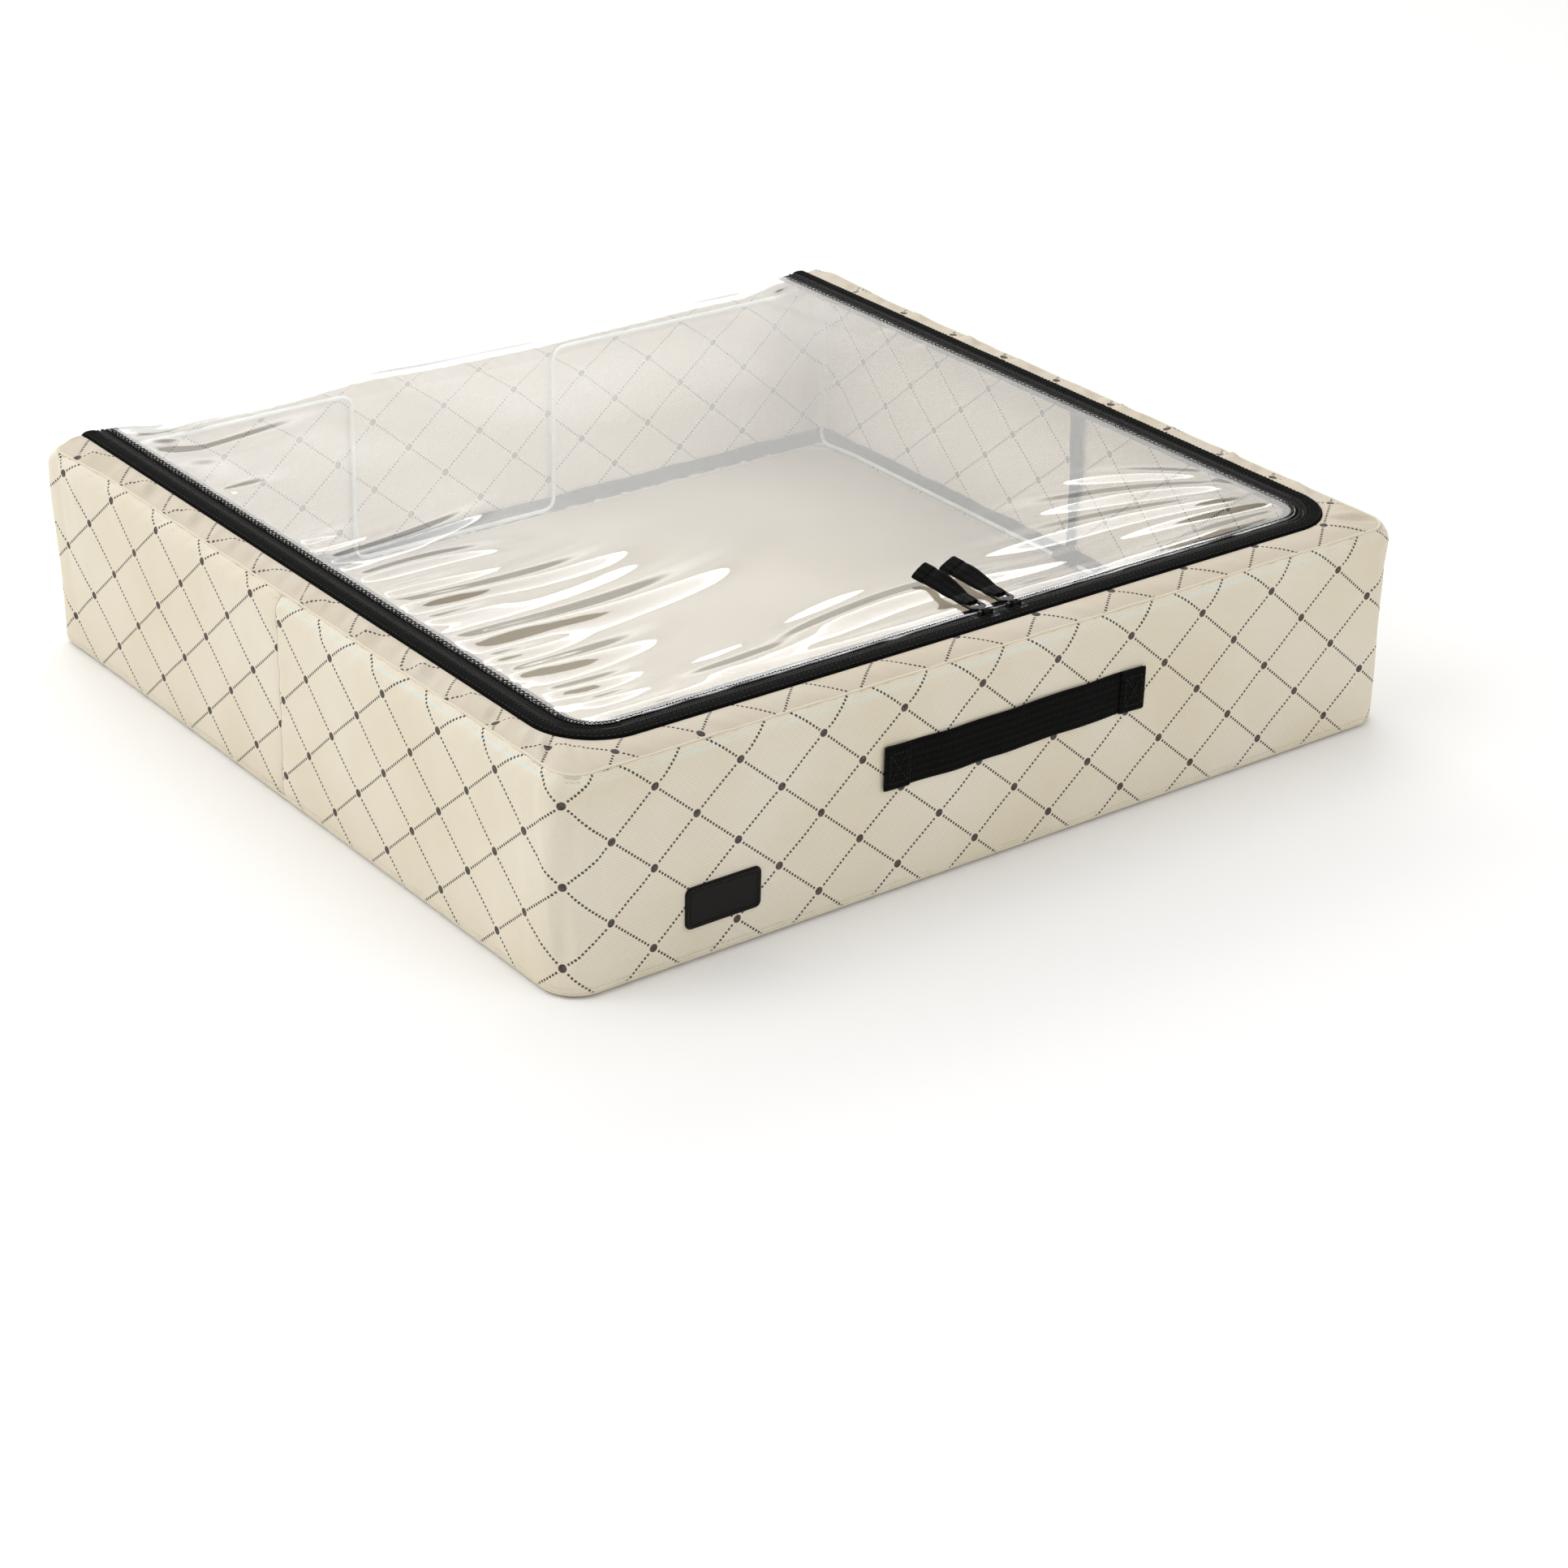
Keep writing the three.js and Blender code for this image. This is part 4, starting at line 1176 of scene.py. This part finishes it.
def handle_band(name, low_x, high_x, stand_off, node, bow=0.0, grow=0.0):
    """Webbing that lies along the front wall; it bows out in the middle and grows past the strap's edges."""
    low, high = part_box("handle_strap")
    x = steps(low_x, high_x, 0.45 * MM)
    z = steps(low.z - grow, high.z + grow, 1.1 * MM)
    grid_x, grid_z = np.meshgrid(x, z, indexing="ij")
    depth = stand_off + bow * np.cos(math.pi * np.clip(grid_x / (160 * MM), -0.5, 0.5)) ** 2
    ribs = webbing_relief(grid_x, grid_z, 1.8 * MM, 0.3 * MM)
    edge = np.minimum(grid_z - z[0], z[-1] - grid_z)
    ends = np.minimum(grid_x - x[0], x[-1] - grid_x)
    ease = 0.55 * MM * ((1 - smooth(edge, 0, 1.3 * MM)) + (1 - smooth(ends, 0, 1.3 * MM)))
    wave = 0.25 * MM * waves(grid_x, 90 * MM, 111)
    y = wall_front_at(grid_x, grid_z) - depth - ribs + ease - wave
    drift = 0.35 * MM * waves(grid_x, 120 * MM, 113)
    outer = np.stack([grid_x, y, grid_z + drift], axis=-1)
    inner = outer.copy()
    inner[..., 1] = y + WEBBING + ribs - ease
    uv = np.stack([grid_x, grid_z], axis=-1)
    piece = shell(name, outer, 0, uv, [webbing_black], inner=inner)
    return place(piece, "root", "black_webbing", node)


def box_stitch(name, low_x, high_x, low_z, high_z, depth):
    """A square of stitches with a cross in it."""
    corners = [(low_x, low_z), (high_x, low_z), (high_x, high_z), (low_x, high_z)]
    sides = list(zip(corners, corners[1:] + corners[:1]))
    cross = [(corners[0], corners[2]), (corners[1], corners[3])]
    rows = []
    for (x0, z0), (x1, z1) in sides + cross:
        x = np.linspace(x0, x1, 30)
        z = np.linspace(z0, z1, 30)
        rows.append((np.stack([x, wall_front_at(x, z) - depth, z], axis=-1), (0, -1.0, 0)))
    piece = stitch_rows(name, rows, 2.0 * MM, 0.6 * MM, 0.3 * MM, black_thread)
    return place(piece, "root", "black_webbing")


strap_low, strap_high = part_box("handle_strap")
handle = handle_band(
    "handle_webbing", strap_low.x + 1 * MM, strap_high.x - 1 * MM, 1.5 * MM, "handle_strap", bow=0.8 * MM
)
for node in ("handle_end_left", "handle_end_right"):
    low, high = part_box(node)
    fold_name = node.replace("handle_end", "handle_fold")
    handle_band(fold_name, low.x, high.x, 2.75 * MM, node, grow=0.3 * MM)
    x_range = (low.x + 3 * MM, high.x - 3 * MM)
    z_range = (low.z + 4 * MM, high.z - 4 * MM)
    stitches = box_stitch(node.replace("end", "stitches"), *x_range, *z_range, 3.0 * MM)


def label_piece():
    """Blank moulded patch with a raised border and a row of moulded stitches."""
    low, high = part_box("label_patch")
    half_x, half_z = (high.x - low.x) / 2, (high.z - low.z) / 2
    middle_x, middle_z = (high.x + low.x) / 2, (high.z + low.z) / 2
    radius = 4 * MM
    flat = panel_grid(half_x, -half_z, half_z, radius, radius, 0.5 * MM)
    x, z = flat[..., 0], flat[..., 1]
    corner_x = np.maximum(np.abs(x) - (half_x - radius), 0)
    corner_z = np.maximum(np.abs(z) - (half_z - radius), 0)
    in_corner = (corner_x > 0) & (corner_z > 0)
    reach = np.where(in_corner, np.hypot(corner_x, corner_z), np.maximum(corner_x, corner_z))
    gap = radius - reach
    edge = 1 - smooth(gap, 0, 0.7 * MM)
    border = smooth(gap, 0.2 * MM, 0.7 * MM) * (1 - smooth(gap, 1.6 * MM, 2.2 * MM))
    face = 1.1 * MM + 0.55 * MM * border - 0.5 * MM * edge
    y = wall_front_at(x + middle_x, z + middle_z)
    outer = np.stack([x + middle_x, y - face - 0.3 * MM, z + middle_z], axis=-1)
    inner = outer.copy()
    inner[..., 1] = y - 0.15 * MM
    patch = shell("label_blank", outer, 0, flat, [rubber], inner=inner)
    place(patch, "root", "soft_black", "label_patch")
    ring = Ring(half_x - 2.7 * MM, -half_z + 2.7 * MM, half_z - 2.7 * MM, 2 * MM, 2 * MM)
    around, _ = ring.at(steps(-ring.half_length, ring.half_length, 0.5 * MM))
    line_x, line_z = around[:, 0] + middle_x, around[:, 1] + middle_z
    line = np.stack([line_x, wall_front_at(line_x, line_z) - 1.5 * MM, line_z], axis=-1)
    row = stitch_rows("label_stitches", [(line, (0, -1.0, 0))], 1.5 * MM, 0.7 * MM, 0.22 * MM, rubber)
    place(row, "root", "soft_black")


label_piece()


# ---------------------------------------------------------------- webbing pulls

def webbing_pull(side):
    """A short doubled webbing strap with a folded, stitched end, lying on the film."""
    low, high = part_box(f"pull_webbing_{side}")
    middle = (low.x + high.x) / 2
    body = f"{side}_pull"
    half = (high.x - low.x) / 2
    roll_to = math.radians(34 if side == "left" else 26)

    def lifted(y, across, height):
        """Points of the strap, which rolls onto its left edge towards its free end."""
        roll = roll_to * smooth(y - low.y, 2 * MM, 30 * MM)
        x = middle + across * np.cos(roll) - height * np.sin(roll)
        z = low.z + 1.5 * MM + (across + half) * np.sin(roll) + height * np.cos(roll)
        return np.stack([x, y, z], axis=-1)

    y = steps(low.y - 2.2 * MM, high.y, 0.4 * MM)
    part = np.linspace(-1, 1, 13)
    grid_y, grid_part = np.meshgrid(y, part, indexing="ij")
    run = grid_y - low.y
    near_tab = 1 - smooth(run, -2 * MM, 3 * MM)
    across = grid_part * half * (1 - 0.14 * near_tab)
    ribs = webbing_relief(grid_y, grid_part * half, 1.6 * MM, 0.32 * MM)
    to_end = high.y - grid_y
    hem = 0.45 * MM * smooth(to_end, 0, 1 * MM) * (1 - smooth(to_end, 9 * MM, 10 * MM))
    waist = 0.45 * MM * hump(run, 8 * MM, 3 * MM) + 0.35 * MM * hump(to_end, 11 * MM, 2 * MM)
    edge = 0.95 * MM * np.abs(grid_part) ** 6
    half_thick = 1.3 * MM + hem - waist - edge
    top = lifted(grid_y, across, half_thick + ribs)
    under = lifted(grid_y, across, -half_thick)
    uv = np.stack([grid_y, grid_part * half], axis=-1)
    piece = shell(f"pull_strap_{side}", top[:, ::-1], 0, uv[:, ::-1], [webbing_black], inner=under[:, ::-1])
    place(piece, body, "black_webbing", f"pull_webbing_{side}")
    rows = []
    for place_y in (low.y + 7 * MM, high.y - 10.5 * MM):
        line_across = np.linspace(1.5 * MM - half, half - 1.5 * MM, 20)
        line_y = np.full(20, place_y)
        line = lifted(line_y, line_across, 1.3 * MM)
        rows.append((line, lifted(line_y, line_across, 2.3 * MM) - line))
    stitches = stitch_rows(f"pull_stitches_{side}", rows, 1.6 * MM, 0.5 * MM, 0.3 * MM, black_thread)
    place(stitches, body, "black_webbing")


for pull_side in ("left", "right"):
    webbing_pull(pull_side)


# ---------------------------------------------------------------- carried-over hard parts

for node_name, finish in {
    "front_frame_wire": wire_coat,
    "rear_frame_wire": wire_coat,
    "frame_sleeve_left": rubber,
    "frame_sleeve_right": rubber,
    "slider_left": metal,
    "slider_right": metal,
    "pull_tab_left": metal,
    "pull_tab_right": metal,
}.items():
    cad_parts[node_name].data.materials[0] = finish


# ---------------------------------------------------------------- floor, lights and camera

def studio_floor():
    """The plain pale floor under the box."""
    size = 9.0
    corners = np.array([[-size, -size, 0], [size, -size, 0], [size, size, 0], [-size, size, 0]], float)
    recipe = Recipe("studio_floor")
    cloud = recipe.noise(recipe.spot(), 0.9, 2)
    tint = recipe.blend(cloud, (0.945, 0.945, 0.945), (0.96, 0.96, 0.96))
    material = recipe.principled(tint, 0.9, Specular_IOR_Level=0.05)
    floor = make_mesh("studio_floor", corners, [[0, 1, 2, 3]], materials=[material])
    floor.location.z = -0.2 * MM


# The lit screen behind the box: the azimuth where it turns dimmer, its strengths on either side
# of it, and the heights between which its lower edge fades in
SCREEN_TURN = math.radians(38)
SCREEN_LEFT = 2.2
SCREEN_RIGHT = 1.5
SCREEN_FOOT = (0.17, 0.25)


def softbox(name, azimuth, elevation, distance, width, height, power, mirrored=True):
    """A soft area light aimed at the box; azimuth is measured from +Y towards +X."""
    light = bpy.data.lights.new(name, "AREA")
    light.shape = "RECTANGLE"
    light.size = width
    light.size_y = height
    light.energy = power
    lamp = bpy.data.objects.new(name, light)
    bpy.context.scene.collection.objects.link(lamp)
    turn, rise = math.radians(azimuth), math.radians(elevation)
    away = Vector((math.sin(turn) * math.cos(rise), math.cos(turn) * math.cos(rise), math.sin(rise)))
    lamp.location = away * distance
    lamp.rotation_euler = (-away).to_track_quat("-Z", "Y").to_euler()
    lamp.visible_camera = False
    lamp.visible_glossy = mirrored


def studio_world():
    """Pale surroundings with a lit screen behind the box, brighter to the left, which the film mirrors."""
    recipe = Recipe("studio_world", world=True)
    bpy.context.scene.world = recipe.owner
    x, y, z = recipe.parts(recipe.add("ShaderNodeTexCoord").outputs["Generated"])

    def ramp(value, low, high, first, last):
        return recipe.spread(value, low, high, first, last, interpolation_type="SMOOTHSTEP")
    surround = ramp(z, 0.30, 0.75, 0.58, 0.25)
    screen = ramp(z, *SCREEN_FOOT, 0, 1) * ramp(z, 0.490, 0.500, 1, 0) * ramp(y, 0.30, 0.45, 0, 1)
    turn = x * math.cos(SCREEN_TURN) - y * math.sin(SCREEN_TURN)
    glow = ramp(turn, -0.12, 0.06, SCREEN_LEFT - SCREEN_RIGHT, 0) + SCREEN_RIGHT
    glow = glow * ramp(z, 0.34, 0.44, 0.70, 1)
    values = {"Color": (1.0, 0.985, 0.955, 1), "Strength": surround + screen * glow}
    recipe.finish(recipe.add("ShaderNodeBackground", values).outputs[0])


def studio_camera():
    """The photograph's view: its place, direction and roll in the frame of the box."""
    azimuth, elevation, roll = math.radians(38.10), math.radians(26.92), math.radians(1.588)
    level_part = math.cos(elevation)
    forward = Vector((math.sin(azimuth) * level_part, math.cos(azimuth) * level_part, -math.sin(elevation)))
    level = forward.cross(Vector((0, 0, 1))).normalized()
    upward = level.cross(forward)
    right = level * math.cos(roll) + upward * math.sin(roll)
    up = right.cross(forward)
    turn = Matrix((right, up, -forward)).transposed()
    data = bpy.data.cameras.new("studio_camera")
    data.sensor_width = 36.0
    data.lens = 82.1
    data.clip_start = 0.05
    camera = bpy.data.objects.new("studio_camera", data)
    camera.matrix_world = Matrix.Translation((-1.2124, -1.6181, 0.9541)) @ turn.to_4x4()
    bpy.context.scene.collection.objects.link(camera)
    bpy.context.scene.camera = camera


studio_floor()
studio_world()
studio_camera()
# Azimuth and elevation in degrees, distance and size in metres, power in watts
softbox("key_left", -75, 48, 3.2, 2.2, 2.2, 31, mirrored=False)
softbox("fill_right", 160, 40, 3.4, 2.6, 2.2, 25, mirrored=False)
softbox("overhead", 20, 84, 3.0, 3.2, 3.2, 33, mirrored=False)
softbox("rear_strip", 27, 38.4, 3.6, 3.0, 0.94, 29)
bpy.context.scene.view_settings.view_transform = "Standard"
